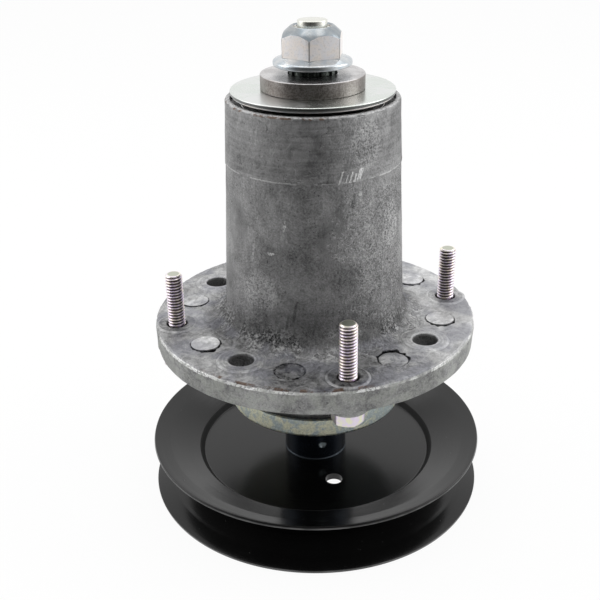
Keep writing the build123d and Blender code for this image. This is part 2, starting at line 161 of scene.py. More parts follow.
def divided(outline, step, where=lambda radius, height: True):
    """The outline with its longer runs cut into steps, where a run's middle is in the wanted stretch."""
    points = []
    for here, ahead in zip(outline, np.roll(outline, -1, axis=0)):
        middle = (here + ahead) / 2
        parts = ceil(np.linalg.norm(ahead - here) / step) if where(*middle) else 1
        points += [here + (ahead - here) * part / parts for part in range(parts)]
    return np.array(points)


def lathe(outline, segments=192, start=0.0, shape=None):
    """A turned form. The outline is a closed loop of (radius, height) points. One on the axis stays single.
    shape takes the angle, radius and height of every point and gives back its radius and height."""
    after = np.roll(outline, -1, axis=0)
    if np.sum(outline[:, 0] * after[:, 1] - after[:, 0] * outline[:, 1]) < 0:
        outline = outline[::-1]
    angle = radians(start) + np.arange(segments) * 2 * pi / segments
    angle, radius = np.meshgrid(angle, outline[:, 0])
    height = np.repeat(outline[:, 1:], segments, axis=1)
    if shape:
        radius, height = shape(angle, radius, height)
    rows = []
    points = []
    for row, reach in enumerate(outline[:, 0]):
        around = 1 if reach == 0 else segments
        rows.append([len(points) + column % around for column in range(segments)])
        for column in range(around):
            spot = row, column
            points.append((radius[spot] * cos(angle[spot]), radius[spot] * sin(angle[spot]), height[spot]))
    faces = []
    for row, here in enumerate(rows):
        ahead = rows[(row + 1) % len(rows)]
        for column in range(segments):
            side = (column + 1) % segments
            corners = (here[column], here[side], ahead[side], ahead[column])
            face = tuple(dict.fromkeys(corners))
            if len(face) > 2:
                faces.append(face)
    return Form(np.array(points), faces)


def add_piece(form, name, body, finish, nodes, crease=40.0, tools=(), bevel=0.0):
    """One finished piece: a form with its cuts and joins, finish, body and the nodes it stands for."""
    made = bpy.data.objects.new(name, form.mesh(name))
    bpy.context.scene.collection.objects.link(made)
    for operation, tool in tools:
        combine(made, tool, operation)
    if bevel:
        soften(made, bevel)
    made.data.shade_smooth()
    made.data.set_sharp_from_angle(angle=radians(crease))
    made.data.materials.clear()
    made.data.materials.append(finish)
    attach(made, body)
    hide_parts(*nodes)
    return made


def combine(target, form, operation):
    """Joins a closed form to an object, or cuts it out."""
    tool = bpy.data.objects.new("tool", form.mesh("tool"))
    bpy.context.scene.collection.objects.link(tool)
    modifier = target.modifiers.new("combine", "BOOLEAN")
    modifier.solver = "MANIFOLD"
    modifier.operation = operation
    modifier.object = tool
    apply(target, modifier)
    bpy.data.objects.remove(tool)


def soften(target, width):
    """Rounds an object's sharp edges by a width in millimetres."""
    modifier = target.modifiers.new("soften", "BEVEL")
    modifier.width = width * MM
    modifier.segments = 3
    modifier.limit_method = "ANGLE"
    modifier.angle_limit = radians(28)
    modifier.use_clamp_overlap = True
    apply(target, modifier)


def apply(target, modifier):
    """The object's mesh as its modifier leaves it."""
    depsgraph = bpy.context.evaluated_depsgraph_get()
    result = bpy.data.meshes.new_from_object(target.evaluated_get(depsgraph))
    target.modifiers.remove(modifier)
    target.data = result


def prism(corners, bottom, top):
    """An upright form over flat (x, y) corners."""
    count = len(corners)
    points = [(x, y, height) for height in (bottom, top) for x, y in corners]
    sides = [(here, (here + 1) % count, count + (here + 1) % count, count + here) for here in range(count)]
    floor = tuple(reversed(range(count)))
    lid = tuple(range(count, 2 * count))
    return Form(np.array(points), [floor, lid, *sides])


# Finishes
class Wire:
    """A socket of a finish, so that sums on it read as an expression."""

    def __init__(self, finish, socket):
        self.finish = finish
        self.socket = socket

    def __add__(self, other):
        return self.finish.maths("ADD", self, other)

    def __sub__(self, other):
        return self.finish.maths("SUBTRACT", self, other)

    def __rsub__(self, other):
        return self.finish.maths("SUBTRACT", other, self)

    def __mul__(self, other):
        return self.finish.maths("MULTIPLY", self, other)

    def __truediv__(self, other):
        return self.finish.maths("DIVIDE", self, other)

    def __pow__(self, other):
        return self.finish.maths("POWER", self, other)

    def __rtruediv__(self, other):
        return self.finish.maths("DIVIDE", other, self)

    def __rpow__(self, other):
        return self.finish.maths("POWER", other, self)

    __radd__ = __add__
    __rmul__ = __mul__

    def __abs__(self):
        return self.finish.maths("ABSOLUTE", self)

    def rise(self, start, end):
        """0 below start and 1 above end, smooth between; the other way about where start is the larger."""
        return self.finish.node("MapRange", {"interpolation_type": "SMOOTHSTEP"}, {
            "Value": self, "From Min": start, "From Max": end,
        })

    def spread(self):
        """Noise drawn apart, so that most of it is near 0 or near 1."""
        return self.rise(0.34, 0.66)

    def between(self, start, end, edge):
        """1 between start and end, with a smooth edge at both."""
        return self.rise(start - edge, start) * self.rise(end + edge, end)


class Finish:
    """A node-based finish under construction, of a piece, the floor or the air around them."""

    def __init__(self, name, tree=None):
        if tree is None:
            self.material = bpy.data.materials.new(name)
            self.material.use_nodes = True
            tree = self.material.node_tree
        self.tree = tree
        tree.nodes.clear()

    def node(self, kind, settings=None, sockets=None, output=0):
        """Adds a node with its settings and what its sockets hold. Gives one output or several."""
        made = self.tree.nodes.new("ShaderNode" + kind)
        for key, value in (settings or {}).items():
            setattr(made, key, value)
        for key, value in (sockets or {}).items():
            if isinstance(value, Wire):
                self.tree.links.new(value.socket, made.inputs[key])
            else:
                made.inputs[key].default_value = value
        if isinstance(output, tuple):
            return [Wire(self, made.outputs[key]) for key in output]
        return Wire(self, made.outputs[output]) if made.outputs else None

    def maths(self, operation, *values):
        return self.node("Math", {"operation": operation}, dict(enumerate(values)))

    def place(self, stretch=(1, 1, 1)):
        """Where a point is, in millimetres, squeezed along an axis to draw the noise out along it."""
        place = self.node("TexCoord", output="Object")
        scale = tuple(share / MM for share in stretch)
        return self.node("VectorMath", {"operation": "MULTIPLY"}, {0: place, 1: scale})

    def parts(self, vector):
        return self.node("SeparateXYZ", sockets={0: vector}, output=("X", "Y", "Z"))

    def facing_up(self):
        """How far a surface faces up: 1 for a top, 0 for an upright side."""
        return self.parts(self.node("NewGeometry", output="Normal"))[2]

    def noise(self, size, detail=3.0, rough=0.5, distortion=0.0, stretch=(1, 1, 1), place=None):
        """Noise between 0 and 1, mostly near 0.5, whose lumps are about size millimetres."""
        return self.node("TexNoise", sockets={
            "Vector": place or self.place(stretch),
            "Scale": 1 / size,
            "Detail": detail,
            "Roughness": rough,
            "Distortion": distortion,
        })

    def mix(self, share, first, second):
        """A colour between two."""
        return self.node("Mix", {"data_type": "RGBA"}, {0: share, 6: first, 7: second}, output=2)

    def bump(self, height, distance, normal=None):
        """A surface that rises by distance in millimetres where height goes from 0 to 1."""
        sockets = {"Height": height, "Distance": distance * MM}
        if normal:
            sockets["Normal"] = normal
        return self.node("Bump", sockets=sockets)

    def metal(self, colour, rough, normal):
        return self.done(base_color=colour, metallic=1.0, roughness=rough, normal=normal)

    def done(self, **sockets):
        """The finish, from the sockets of its shader."""
        names = {key: key.replace("_", " ").title().replace("Ior", "IOR") for key in sockets}
        shader = self.node("BsdfPrincipled", sockets={names[key]: value for key, value in sockets.items()})
        self.node("OutputMaterial", sockets={"Surface": shader})
        return self.material


def grey(value, red=1.0, blue=1.0):
    """A grey of a brightness, leaning to red or blue."""
    return (value * red, value, value * blue, 1.0)


def spot_distance(finish, place, circle, count, turn):
    """How far a point is from the nearest of count places on a circle about the shaft."""
    x, y, _ = finish.parts(place)
    reach = (x * x + y * y) ** 0.5
    part = 2 * pi / count
    turned = (finish.maths("ARCTAN2", y, x) - radians(turn)) / part + 0.5
    angle = (finish.maths("FRACT", turned) - 0.5) * part
    along = reach * finish.maths("COSINE", angle) - circle
    across = reach * finish.maths("SINE", angle)
    return (along * along + across * across) ** 0.5


def cast_aluminium():
    """Bare die-cast aluminium: cloudy, grained, crackled on one side, porous in its root and stained, with
    painted light and shade on its flange face and pin marks.
    """
    seat = Seat("spindle_housing")
    _, flange_top, parting = housing_heights(seat)
    finish = Finish("cast_aluminium")
    place = finish.place()
    x, y, z = finish.parts(place)
    reach = (x * x + y * y) ** 0.5
    clouds = finish.noise(20, 2, 0.5, 0.5).spread()
    mottle = finish.noise(4.5, 4, 0.6, 0.8).spread()
    grain = finish.noise(0.8, 3, 0.7).spread()
    streaks = finish.noise(1.6, 3, 0.6, stretch=(1, 1, 0.08)).rise(0.36, 0.64)
    arcs = finish.noise(1.3, 2, stretch=(0.06, 0.06, 1)).rise(0.36, 0.64)
    swirls = finish.noise(8, 4, 0.55, 2.5).rise(0.36, 0.64)
    ragged = finish.noise(1.1, 3, 0.7)

    # Where the barrel, the flange's face and rim, and the rough root between them are
    on_barrel = z.rise(flange_top + 4, flange_top + 9)
    above_parting = z.rise(parting - 0.4, parting + 0.4)
    on_face = z.rise(flange_top - 1.2, flange_top - 0.2) * z.rise(flange_top + 4, flange_top + 1.5)
    on_rim = z.rise(flange_top - 0.7, flange_top - 1.1) * reach.rise(70, 72)
    in_root = reach.rise(54, 46) * z.rise(flange_top + 14, flange_top + 3)
    in_root *= reach.rise(38, 40)

    # The skin all over, lighter on face and rim, with painted shade on the face's front where the barrel is
    # reflected and a painted highlight on its right side
    tone = CASTING_TONE + (clouds - 0.5) * 0.12 + (mottle - 0.5) * 0.09
    tone += (grain - 0.5) * (0.12 - above_parting * 0.04)
    tone += (streaks - 0.5) * 0.035 * on_barrel * (1 - above_parting)
    tone = tone + (arcs - 0.5) * 0.06 * above_parting + (swirls - 0.5) * 0.18 * on_face
    front_reflection_shade = x.between(-30, 8, 16) * y.rise(-42, -62)
    # Painted reflection: the face darkened at the front and lightened towards +x
    tone += on_face * (FACE_LIFT - front_reflection_shade * 0.16 + x.rise(30, 58) * 0.17)
    tone += on_rim * (RIM_LIFT + x.rise(40, 66) * 0.08 + (mottle - 0.5) * 0.10)

    # The porous root
    crumbs = finish.noise(1.3, 4, 0.7, 0.6).rise(0.44, 0.58)
    patches = finish.noise(9, 2).rise(0.42, 0.56)
    tone -= in_root * (0.07 + patches * (0.13 - crumbs * 0.36))

    # The barrel's worn and crackled side
    along = (finish.maths("ARCTAN2", y, x) - radians(BURR_ANGLE)) * BARREL_TOP_RADIUS
    above = z - parting
    speckle = finish.noise(1.1, 4, 0.75).rise(0.53, 0.62)
    crackle = abs(finish.noise(2.2, 4, 0.65, 1.2) - 0.5).rise(0.035, 0.008)
    warp = (clouds + mottle - 1) * 9
    worn = (along + warp).between(-1, 34, 4) * (above + warp).between(-62, -3, 4)
    tone += worn * (0.03 + speckle * 0.18 - crackle * 0.17)
    tone -= crackle * (1 - worn) * on_barrel * 0.05 * patches

    # The parting line, the burrs on it and the marks beside it
    seam = abs(above + ragged - 0.5).rise(0.5, 0.1)
    seam *= finish.noise(6, 3, stretch=(1, 1, 0.1)).rise(0.40, 0.56)
    tone += seam * on_barrel * 0.25
    burrs = 0.0
    for side, low, high, wide in BURRS:
        off = abs(along - side - above * BURR_SLANT + ragged * 0.8 - 0.4)
        burrs += off.rise(wide + 0.2, wide - 0.1) * above.between(low, high, 0.8)
    tone += burrs * (0.26 + grain * 0.16)
    for side, drop, wide, tall, change in SKIN_MARKS:
        up = (above + drop + ragged * 2) / tall
        across = (along - side + ragged * 1.5 - up * min(tall * 0.15, 1)) / wide
        tone += (across * across + up * up).rise(1.0, 0.3) * change * grain.rise(0.1, 0.6)

    # Ejector pin marks, with painted shade on the front marks, a painted highlight on the left ones, and
    # painted shade in the gaps round them and down their walls
    mark = spot_distance(finish, place, PIN_MARK_CIRCLE, 2 * STUD_COUNT, PIN_MARK_START)
    on_mark = mark.rise(PIN_MARK_RADIUS + 0.1, PIN_MARK_RADIUS - 0.2) * on_face
    # Painted shade on the marks at the front, and a painted highlight on those at the left
    dull = x.between(-36, 0, 4) * y.rise(-30, -40)
    left_mark_highlight = x.rise(-40, -46) * y.rise(-8, -14)
    tone += on_mark * (0.14 + (mottle - 0.5) * 0.20 + left_mark_highlight * 0.20 - dull * 0.24)
    # Painted shade in the gaps round the marks and on the walls below the face
    in_gap = mark.between(PIN_MARK_RADIUS + 0.05, PIN_MARK_RADIUS + 0.4, 0.25) * on_face
    tone -= in_gap * ragged.rise(0.36, 0.48) * 0.26
    below = z.rise(flange_top - 0.2, flange_top - 0.5)
    below *= mark.rise(PIN_MARK_RADIUS + 2.6, PIN_MARK_RADIUS + 2)
    tone -= below * reach.rise(70, 69) * 0.25

    # Turned bosses round the studs and open holes
    stud = spot_distance(finish, place, STUD_CIRCLE, STUD_COUNT, 0)
    hole = spot_distance(finish, place, OPEN_CIRCLE, STUD_COUNT, 180 / STUD_COUNT)
    for spot, radius, flat in ((stud, STUD_BOSS_RADIUS, -0.11), (hole, OPEN_BOSS_RADIUS, 0.02)):
        tone += spot.rise(radius - 0.9, radius - 1.4) * on_face * flat
        tone += spot.between(radius - 0.9, radius - 0.1, 0.3) * on_face * 0.12
        tone -= spot.between(radius + 0.2, radius + 0.4, 0.25) * on_face * 0.10 * swirls
    rings = finish.maths("SINE", hole * (2 * pi / RING_PITCH)) * 0.5 + 0.5
    ringed = hole.rise(OPEN_BOSS_RADIUS + 0.1, OPEN_BOSS_RADIUS - 0.6) * on_face
    tone += (rings - 0.5) * 0.07 * ringed
    tone += hole.between(OPEN_HOLE_RADIUS, OPEN_HOLE_RADIUS + 0.6, 0.2) * on_face * 0.10

    # Specks and pits, the bright flash along the rim and the pale mouth
    specks = finish.noise(0.9, 4, 0.75).rise(0.63, 0.69)
    pits = finish.noise(1.2, 3, 0.6).rise(0.36, 0.31)
    tone = tone + specks * 0.18 - pits * 0.14
    flash = (z + ragged).between(flange_top - 1.3, flange_top - 0.3, 0.3) * reach.rise(71.3, 71.9)
    flash *= 0.25 + finish.noise(14, 3).rise(0.42, 0.56) * y.rise(10, -30)
    tone += flash * (0.25 + ragged.rise(0.40, 0.52) * 0.75) * 0.55
    lip = z.between(seat.top - 0.45, seat.top + 1, 0.25) * on_barrel
    tone += lip * ragged.rise(0.40, 0.50) * 0.22
    colour = finish.mix(tone, grey(0.02, 0.99, 1.04), grey(0.95))

    # Blue and olive tints and brown stains
    cool = finish.noise(15, 3).rise(0.42, 0.60) * on_face
    colour = finish.mix(cool * 0.45, colour, (0.20, 0.205, 0.25, 1))
    colour = finish.mix(on_rim * mottle * 0.3, colour, (0.26, 0.29, 0.22, 1))
    at_edge = z.between(flange_top - 0.7, flange_top + 0.2, 0.2) * reach.rise(71.7, 72.1)
    at_mouth = z.between(seat.top - 0.9, seat.top - 0.4, 0.25) * x.rise(8, -4) * on_barrel
    at_edge = at_edge * x.between(-50, 2, 10) * y.rise(-30, -50)
    stained = at_edge * finish.noise(7, 4, 0.7).rise(0.47, 0.56)
    stained += at_mouth * finish.noise(3.5, 3, 0.6).rise(0.50, 0.56)
    colour = finish.mix(stained * 0.75, colour, (0.13, 0.07, 0.04, 1))

    rough = 0.42 + mottle * 0.16 + in_root * 0.25 + on_rim * 0.12
    normal = finish.bump(grain, 0.06)
    normal = finish.bump(mottle, 0.14, normal)
    normal = finish.bump(crumbs * in_root, 0.4, normal)
    normal = finish.bump(speckle * worn - crackle * (worn * 0.7 + 0.3), 0.13, normal)
    normal = finish.bump(rings * ringed, 0.05, normal)
    normal = finish.bump(burrs, 0.4, normal)
    metallic = 0.92 - on_rim * 0.45 - in_root * 0.3
    return finish.done(base_color=colour, metallic=metallic, roughness=rough, normal=normal)


def plated(name, first, second, size, rough, bump=0.012):
    """Zinc plating whose tint wanders between two colours, with a fine satin grain."""
    finish = Finish(name)
    tint = finish.noise(size, 3, 0.55, 0.8).spread()
    satin = finish.noise(0.5, 3, 0.6)
    colour = finish.mix(tint, first, second)
    colour = finish.mix(satin.rise(0.55, 0.80) * 0.3, colour, grey(0.42))
    normal = finish.bump(satin, bump)
    return finish.metal(colour, rough + satin * 0.14, normal)


def bright_zinc():
    return plated("bright_zinc", (0.70, 0.735, 0.76, 1), (0.79, 0.75, 0.71, 1), 6, 0.36)


def nut_zinc():
    """Satin zinc on a nut: pale sides with pink and straw clouds, a bluer and shinier crown and flange
    painted darker than the sides as shade, and painted shade down the corners.
    """
    finish = Finish("nut_zinc")
    cloud = finish.noise(5, 3, 0.55, 0.8).spread()
    satin = finish.noise(0.7, 4, 0.65)
    seat = Seat("blade_nut")
    x, y, z = finish.parts(finish.place())
    on_flange = z.rise(seat.bottom + NUT_FLANGE_RISE + 0.2, seat.bottom + NUT_FLANGE_RISE - 0.3)
    facing_up = finish.maths("MAXIMUM", finish.facing_up().rise(0.12, 0.55), on_flange)
    turn = (finish.maths("ARCTAN2", y, x) - radians(NUT_TURN)) / (pi / 3) + 0.5
    from_corner = abs(finish.maths("FRACT", turn) - 0.5) * (NUT_ACROSS_FLATS / 3**0.5)
    # Painted shade: dark lines down the hex corners
    corner = from_corner.rise(0.32, 0.12) * (1 - facing_up)
    side = finish.mix(cloud, (0.86, 0.85, 0.87, 1), (0.93, 0.87, 0.82, 1))
    # Painted shade: the crown and flange, which face up, get far darker colours than the sides
    crown = finish.mix(cloud, (0.29, 0.33, 0.36, 1), (0.40, 0.42, 0.43, 1))
    flange = finish.mix(cloud, (0.50, 0.55, 0.59, 1), (0.64, 0.66, 0.67, 1))
    colour = finish.mix(facing_up, side, finish.mix(on_flange, crown, flange))
    colour = finish.mix(satin.rise(0.50, 0.70) * 0.4, colour, grey(0.45))
    colour = finish.mix(corner * 0.8, colour, grey(0.10))
    rough = 0.42 - facing_up * 0.24 + satin * 0.12
    return finish.metal(colour, rough, finish.bump(satin, 0.03))


def shield_zinc():
    """Pale greenish zinc with faint scratches, with painted shade darkening its upright edge."""
    finish = Finish("shield_zinc")
    cloud = finish.noise(14, 3, 0.55, 0.8).spread()
    hairs = finish.noise(1.1, 3, 0.6, 0.4, (1, 0.1, 1))
    scratch = hairs.rise(0.66, 0.72) + finish.noise(0.8, 4, 0.7).rise(0.66, 0.74)
    colour = finish.mix(cloud, (0.68, 0.72, 0.68, 1), (0.74, 0.75, 0.74, 1))
    colour = finish.mix(scratch * 0.25, colour, grey(0.40))
    # Painted shade on the upright edge
    side = finish.facing_up().rise(0.35, 0.1)
    colour = finish.mix(side * 0.85, colour, grey(0.06))
    return finish.done(base_color=colour, metallic=1.0, roughness=0.24 + cloud * 0.08 + scratch * 0.1)


def yellow_zinc():
    """Yellow zinc, speckled and mottled with blue-grey, with more blue-grey painted on its right side as a
    reflection.
    """
    finish = Finish("yellow_zinc")
    x = finish.parts(finish.place())[0]
    cloud = finish.noise(5, 4, 0.6, 1.0)
    speckle = finish.noise(0.9, 4, 0.75).rise(0.38, 0.62)
    # Painted reflection: the right side (+x) leans to blue-grey
    blue = (cloud + x.rise(-12, 22) * 0.16).rise(0.46, 0.62)
    colour = finish.mix(blue, (0.90, 0.90, 0.70, 1), (0.54, 0.63, 0.65, 1))
    colour = finish.mix((1 - speckle) * 0.40, colour, (0.30, 0.32, 0.27, 1))
    colour = finish.mix(speckle.rise(0.8, 1.0) * 0.5, colour, (0.86, 0.86, 0.74, 1))
    return finish.metal(colour, 0.36 + speckle * 0.14, finish.bump(speckle, 0.06))


def rainbow_zinc():
    """Bright zinc with lilac and straw tints, with painted shade in the threads: flanks a shade darker than
    crests and roots dark grey.
    """
    finish = Finish("rainbow_zinc")
    place = finish.place()
    tint = finish.noise(2.6, 3, 0.55, 0.8).rise(0.36, 0.60)
    crest = finish.mix(tint, (0.94, 0.90, 0.74, 1), (0.90, 0.82, 0.90, 1))
    side = finish.mix(tint, (0.84, 0.72, 0.72, 1), (0.70, 0.62, 0.80, 1))
    bolt = spot_distance(finish, place, STUD_CIRCLE, STUD_COUNT, 0)
    in_thread = bolt.rise(BOLT_RADIUS - 0.05, BOLT_RADIUS - 0.28)
    in_root = bolt.rise(BOLT_RADIUS - 0.36, BOLT_RADIUS - 0.62)
    end = Seat("flange_bolts").top + BOLT_TIP_RISE
    tip = finish.parts(place)[2].rise(end - BOLT_TIP_CHAMFER - 0.1, end - BOLT_TIP_CHAMFER)
    end_face = bolt.rise(BOLT_RADIUS - 1.1, BOLT_RADIUS - 1.4) * tip
    head = finish.mix(tint, (0.74, 0.74, 0.54, 1), (0.72, 0.64, 0.76, 1))
    crest = finish.mix(bolt.rise(BOLT_RADIUS + 0.3, BOLT_RADIUS + 0.6), crest, head)
    colour = finish.mix(in_thread * (1 - tip), crest, side)
    # Painted shade: dark grey in the thread roots
    colour = finish.mix(in_root * (1 - tip), colour, grey(0.15, 1.15, 0.9))
    colour = finish.mix(end_face, colour, (0.52, 0.54, 0.45, 1))
    satin = finish.noise(0.5, 3, 0.6)
    normal = finish.bump(satin, 0.012)
    return finish.metal(colour, 0.24 + satin * 0.14, normal)


def steel(name, colour, rough, size=0.6, grain=0.01):
    """Plain steel with tool lines round it."""
    finish = Finish(name)
    lines = finish.noise(0.35, 2, stretch=(0.04, 0.04, 1))
    speckle = finish.noise(size, 4, 0.65)
    tone = finish.mix(speckle.rise(0.3, 0.75), grey(colour * 0.72, 1.04, 0.97), grey(colour, 1.02, 0.99))
    normal = finish.bump(speckle, grain, finish.bump(lines, grain))
    return finish.metal(tone, rough + speckle * 0.16, normal)


def washer_steel():
    """Steel with a ground top and a brownish, speckled side painted darker than the top as shade."""
    finish = Finish("washer_steel")
    speckle = finish.noise(0.6, 3, 0.65).rise(0.38, 0.62)
    cloud = finish.noise(7, 3).rise(0.36, 0.64)
    side = finish.mix(speckle * 0.6 + cloud * 0.4, grey(0.12, 1.16, 0.92), grey(0.34, 1.06, 0.95))
    top = finish.mix(cloud, grey(0.46, 1.03, 1.0), grey(0.60, 1.02, 1.0))
    facing_up = finish.facing_up()
    # Painted shade: the upright side gets a darker colour than the top
    colour = finish.mix(facing_up.rise(0.3, 0.7), side, top)
    rough = 0.34 + speckle * 0.1 - facing_up.rise(0.5, 0.9) * 0.08
    return finish.metal(colour, rough, finish.bump(speckle, 0.02))


def shaft_steel():
    """A shaft with painted shade darkening its splines in the gap under the nut, and a bright plated tip."""
    finish = Finish("shaft_steel")
    z = finish.parts(finish.place())[2]
    speckle = finish.noise(0.6, 4, 0.65)
    bare = finish.mix(speckle.rise(0.3, 0.75), grey(0.34, 1.04, 0.97), grey(0.50, 1.02, 0.99))
    shaded_splines = finish.mix(speckle.rise(0.4, 0.7), (0.035, 0.04, 0.035, 1), (0.10, 0.115, 0.11, 1))
    bright = finish.mix(finish.noise(4, 2), (0.72, 0.73, 0.66, 1), (0.80, 0.79, 0.74, 1))
    nut = Seat("blade_nut")
    # Painted shade: nearly black from just under the nut up through it
    colour = finish.mix(z.rise(nut.bottom - 4, nut.bottom - 3.6), bare, shaded_splines)
    colour = finish.mix(z.rise(nut.top - 2, nut.top - 1), colour, bright)
    rough = 0.20 + speckle * 0.16
    return finish.metal(colour, rough, finish.bump(speckle, 0.01))


def black_paint():
    """Satin black paint on pressed steel, with faint rings and scuffs, and a lighter outer edge that is
    partly rubbed paint and partly a painted highlight.
    """
    finish = Finish("black_paint")
    x, y, z = finish.parts(finish.place())
    reach = (x * x + y * y) ** 0.5
    turned = finish.node("CombineXYZ", sockets={0: reach, 2: z})
    rings = finish.noise(2.4, 3, place=turned)
    peel = finish.noise(0.7, 2)
    cloud = finish.noise(18, 3)
    scuff = finish.noise(1.3, 4, 0.6, stretch=(1, 0.12, 1)).rise(0.70, 0.76)
    rim = Seat("pulley_upper_half").radius
    # Painted highlight along the sheet's outer edge, partly rubbed paint
    edge = reach.rise(rim - 0.35, rim - 0.1) * (0.4 + finish.noise(9, 3).rise(0.35, 0.65) * 0.6)
    dull = reach.between(STEP_RADIUS + 0.1, STEP_RADIUS + STEP_WIDTH - 0.1, 0.4)
    colour = finish.mix(cloud, grey(0.0008), grey(0.0025))
    colour = finish.mix(scuff * 0.5, colour, grey(0.10))
    colour = finish.mix(edge, colour, grey(0.10))
    normal = finish.bump(rings, 0.05, finish.bump(peel, 0.004))
    rough = 0.15 + cloud * 0.10 + scuff * 0.2 + edge * 0.2 + dull * 0.5
    return finish.done(base_color=colour, specular_ior_level=0.43, roughness=rough, normal=normal)


def black_oxide():
    """Oiled black oxide: nearly black, blue and glossy, with a painted glint in the punch mark and a painted
    reflection line along the lower edge.
    """
    finish = Finish("black_oxide")
    cloud = finish.noise(6, 3)
    place = finish.place()
    z = finish.parts(place)[2]
    web = Seat("pulley_lower_half").top + SHEET
    punch = web + PUNCH_RISE
    middle = (*polar(HUB_SPIGOT_RADIUS + HUB_SHOULDER, PUNCH_ANGLE), punch)
    # Painted glint: a pale blue-white spot in the lower part of the punch mark
    spot = finish.node("VectorMath", {"operation": "DISTANCE"}, {0: place, 1: middle}, output="Value")
    spot = spot.rise(PUNCH_SIZE[1], PUNCH_SIZE[1] - 1.1) * z.rise(punch + 1.2, punch)
    # Painted reflection: a light line along the hub's foot on the web
    toe_reflection = z.between(web + 0.1, web + HUB_TOE, 0.15)
    colour = finish.mix(cloud, (0.012, 0.016, 0.024, 1), (0.026, 0.033, 0.045, 1))
    colour = finish.mix(spot, colour, (0.75, 0.85, 0.90, 1))
    colour = finish.mix(toe_reflection * 0.4, colour, (0.24, 0.28, 0.32, 1))
    normal = finish.bump(finish.noise(1.2, 3), 0.02)
    rough = 0.20 + cloud * 0.12 + spot * 0.2
    return finish.done(base_color=colour, metallic=0.85, roughness=rough, normal=normal)


def moulded(name, colour, rough):
    """Moulded plastic or rubber with a fine matt grain."""
    finish = Finish(name)
    grain = finish.noise(0.4, 2)
    darker = (colour[0] * 0.8, colour[1] * 0.8, colour[2] * 0.8, 1)
    colour = finish.mix(grain, darker, colour)
    return finish.done(base_color=colour, roughness=rough + grain * 0.1, normal=finish.bump(grain, 0.01))


# How many segments go round each turned piece, and how far apart the casting's points are down its side
HOUSING_SEGMENTS = 368
SHEAVE_SEGMENTS = 360
SHAFT_SEGMENTS = 288
WASHER_SEGMENTS = 256
BOLT_SEGMENTS = 48
SKIN_STEP = 1.3
RIM_STEP = 0.8

# Housing sizes
FLANGE_THICKNESS = 11.5
BOSS_LENGTH = 27.0
PARTING_DROP = 26.7
PARTING_STEP = 0.25
BARREL_TOP_RADIUS = 37.05
BARREL_DRAFT = radians(2.4)
BARREL_EDGE = 1.3
MOUTH_RADIUS = 34.85
MOUTH_DEPTH = 2.1
SEAT_RADIUS = 31.02
SEAT_SHOULDER = 2.6
BEARING_WIDTH = 17.0
ROOT_FILLET = 9.0
LAND_INSET = 0.9
FLASH_DROP = 1.1
FLASH_WIDTH = 0.9
RIM_BOTTOM_INSET = 0.6
RIM_BOTTOM_EDGE = 0.9
BOSS_FILLET = 5.0
LOWER_BOSS_RADIUS = 37.8
LOWER_BOSS_MOUTH = 33.6
LOWER_BOSS_LIP = 2.0
LOWER_BOSS_EDGE = 1.2
LOWER_BOSS_DRAFT = radians(2.0)
STUD_COUNT = 4
STUD_CIRCLE = 64.0
STUD_HOLE_RADIUS = 4.75
STUD_BOSS_RADIUS = 9.4
OPEN_CIRCLE = 57.2
OPEN_HOLE_RADIUS = 5.55
OPEN_BOSS_RADIUS = 10.6
BOSS_RAISE = 0.5
BOSS_SLOPE = 0.8
RING_PITCH = 1.5
PAD_RADIUS = 8.6
PAD_HEIGHT = 2.4
PIN_MARK_CIRCLE = 58.0
PIN_MARK_START = 22.5
PIN_MARK_RADIUS = 6.35
PIN_MARK_RAISE = 0.35
PIN_MARK_DEPTH = 0.3
SUNK_PIN_MARKS = (5, 6)
MARK_GAP_SIDES = (-95, 70, 130, -110, -80, -110, 75, -95)
MARK_GAP_WIDTHS = (1.0, 0.6, 0.6, 1.0, 1.5, 0.8, 1.7, 1.2)
MARK_GAP_DEPTH = 1.3
# Ground spots on the rim: angle and depth
GROUND_SPOTS = ((-64, 0.45), (-71, 0.35), (-82, 0.30), (-57, 0.30), (-100, 0.2), (-118, 0.25))
BURR_ANGLE = -78.0
BURR_SLANT = 0.35
# Burrs: place along the barrel's side, low and high end above the parting line, and half width
BURRS = (
    (-5.6, -0.4, 4.2, 0.35), (-3.0, 0.6, 2.6, 0.25), (-1.3, 0.3, 3.6, 0.35), (0.6, 0.2, 2.8, 0.45),
    (2.4, 0.8, 4.4, 1.0),
)
CASTING_TONE = 0.26
FACE_LIFT = 0.14
RIM_LIFT = 0.06
# Marks on the barrel: along its side, below the parting line, half width, half height and change of tone
SKIN_MARKS = (
    (1.2, 7, 0.8, 4.5, -0.22), (6.5, 5, 1.6, 2, -0.12), (4.2, 5, 0.9, 1.2, 0.30),
    (-26.5, 17, 0.7, 3, 0.30), (-32.5, 30, 2.0, 0.9, 0.45), (-41, 30, 0.6, 6, 0.12),
    (-22.5, 55, 0.8, 6, -0.16), (-25.5, 60, 0.7, 5, -0.15), (-25, 68, 3.5, 1.5, -0.20),
    (-15, 62, 0.6, 5, -0.10), (7.5, -15, 9, 12, 0.13), (21.5, 22, 7, 13, 0.20),
    (-37.5, 48, 12, 10, 0.12), (-18, -17, 10, 15, -0.06), (-7, 22, 8, 14, -0.10),
    (-52, 22, 8, 14, -0.09), (-60, 47, 7, 10, -0.08),
)


def housing_heights(seat):
    """The heights of the flange's bottom and top and of the parting line."""
    flange_bottom = seat.bottom + BOSS_LENGTH
    return flange_bottom, flange_bottom + FLANGE_THICKNESS, seat.top - PARTING_DROP


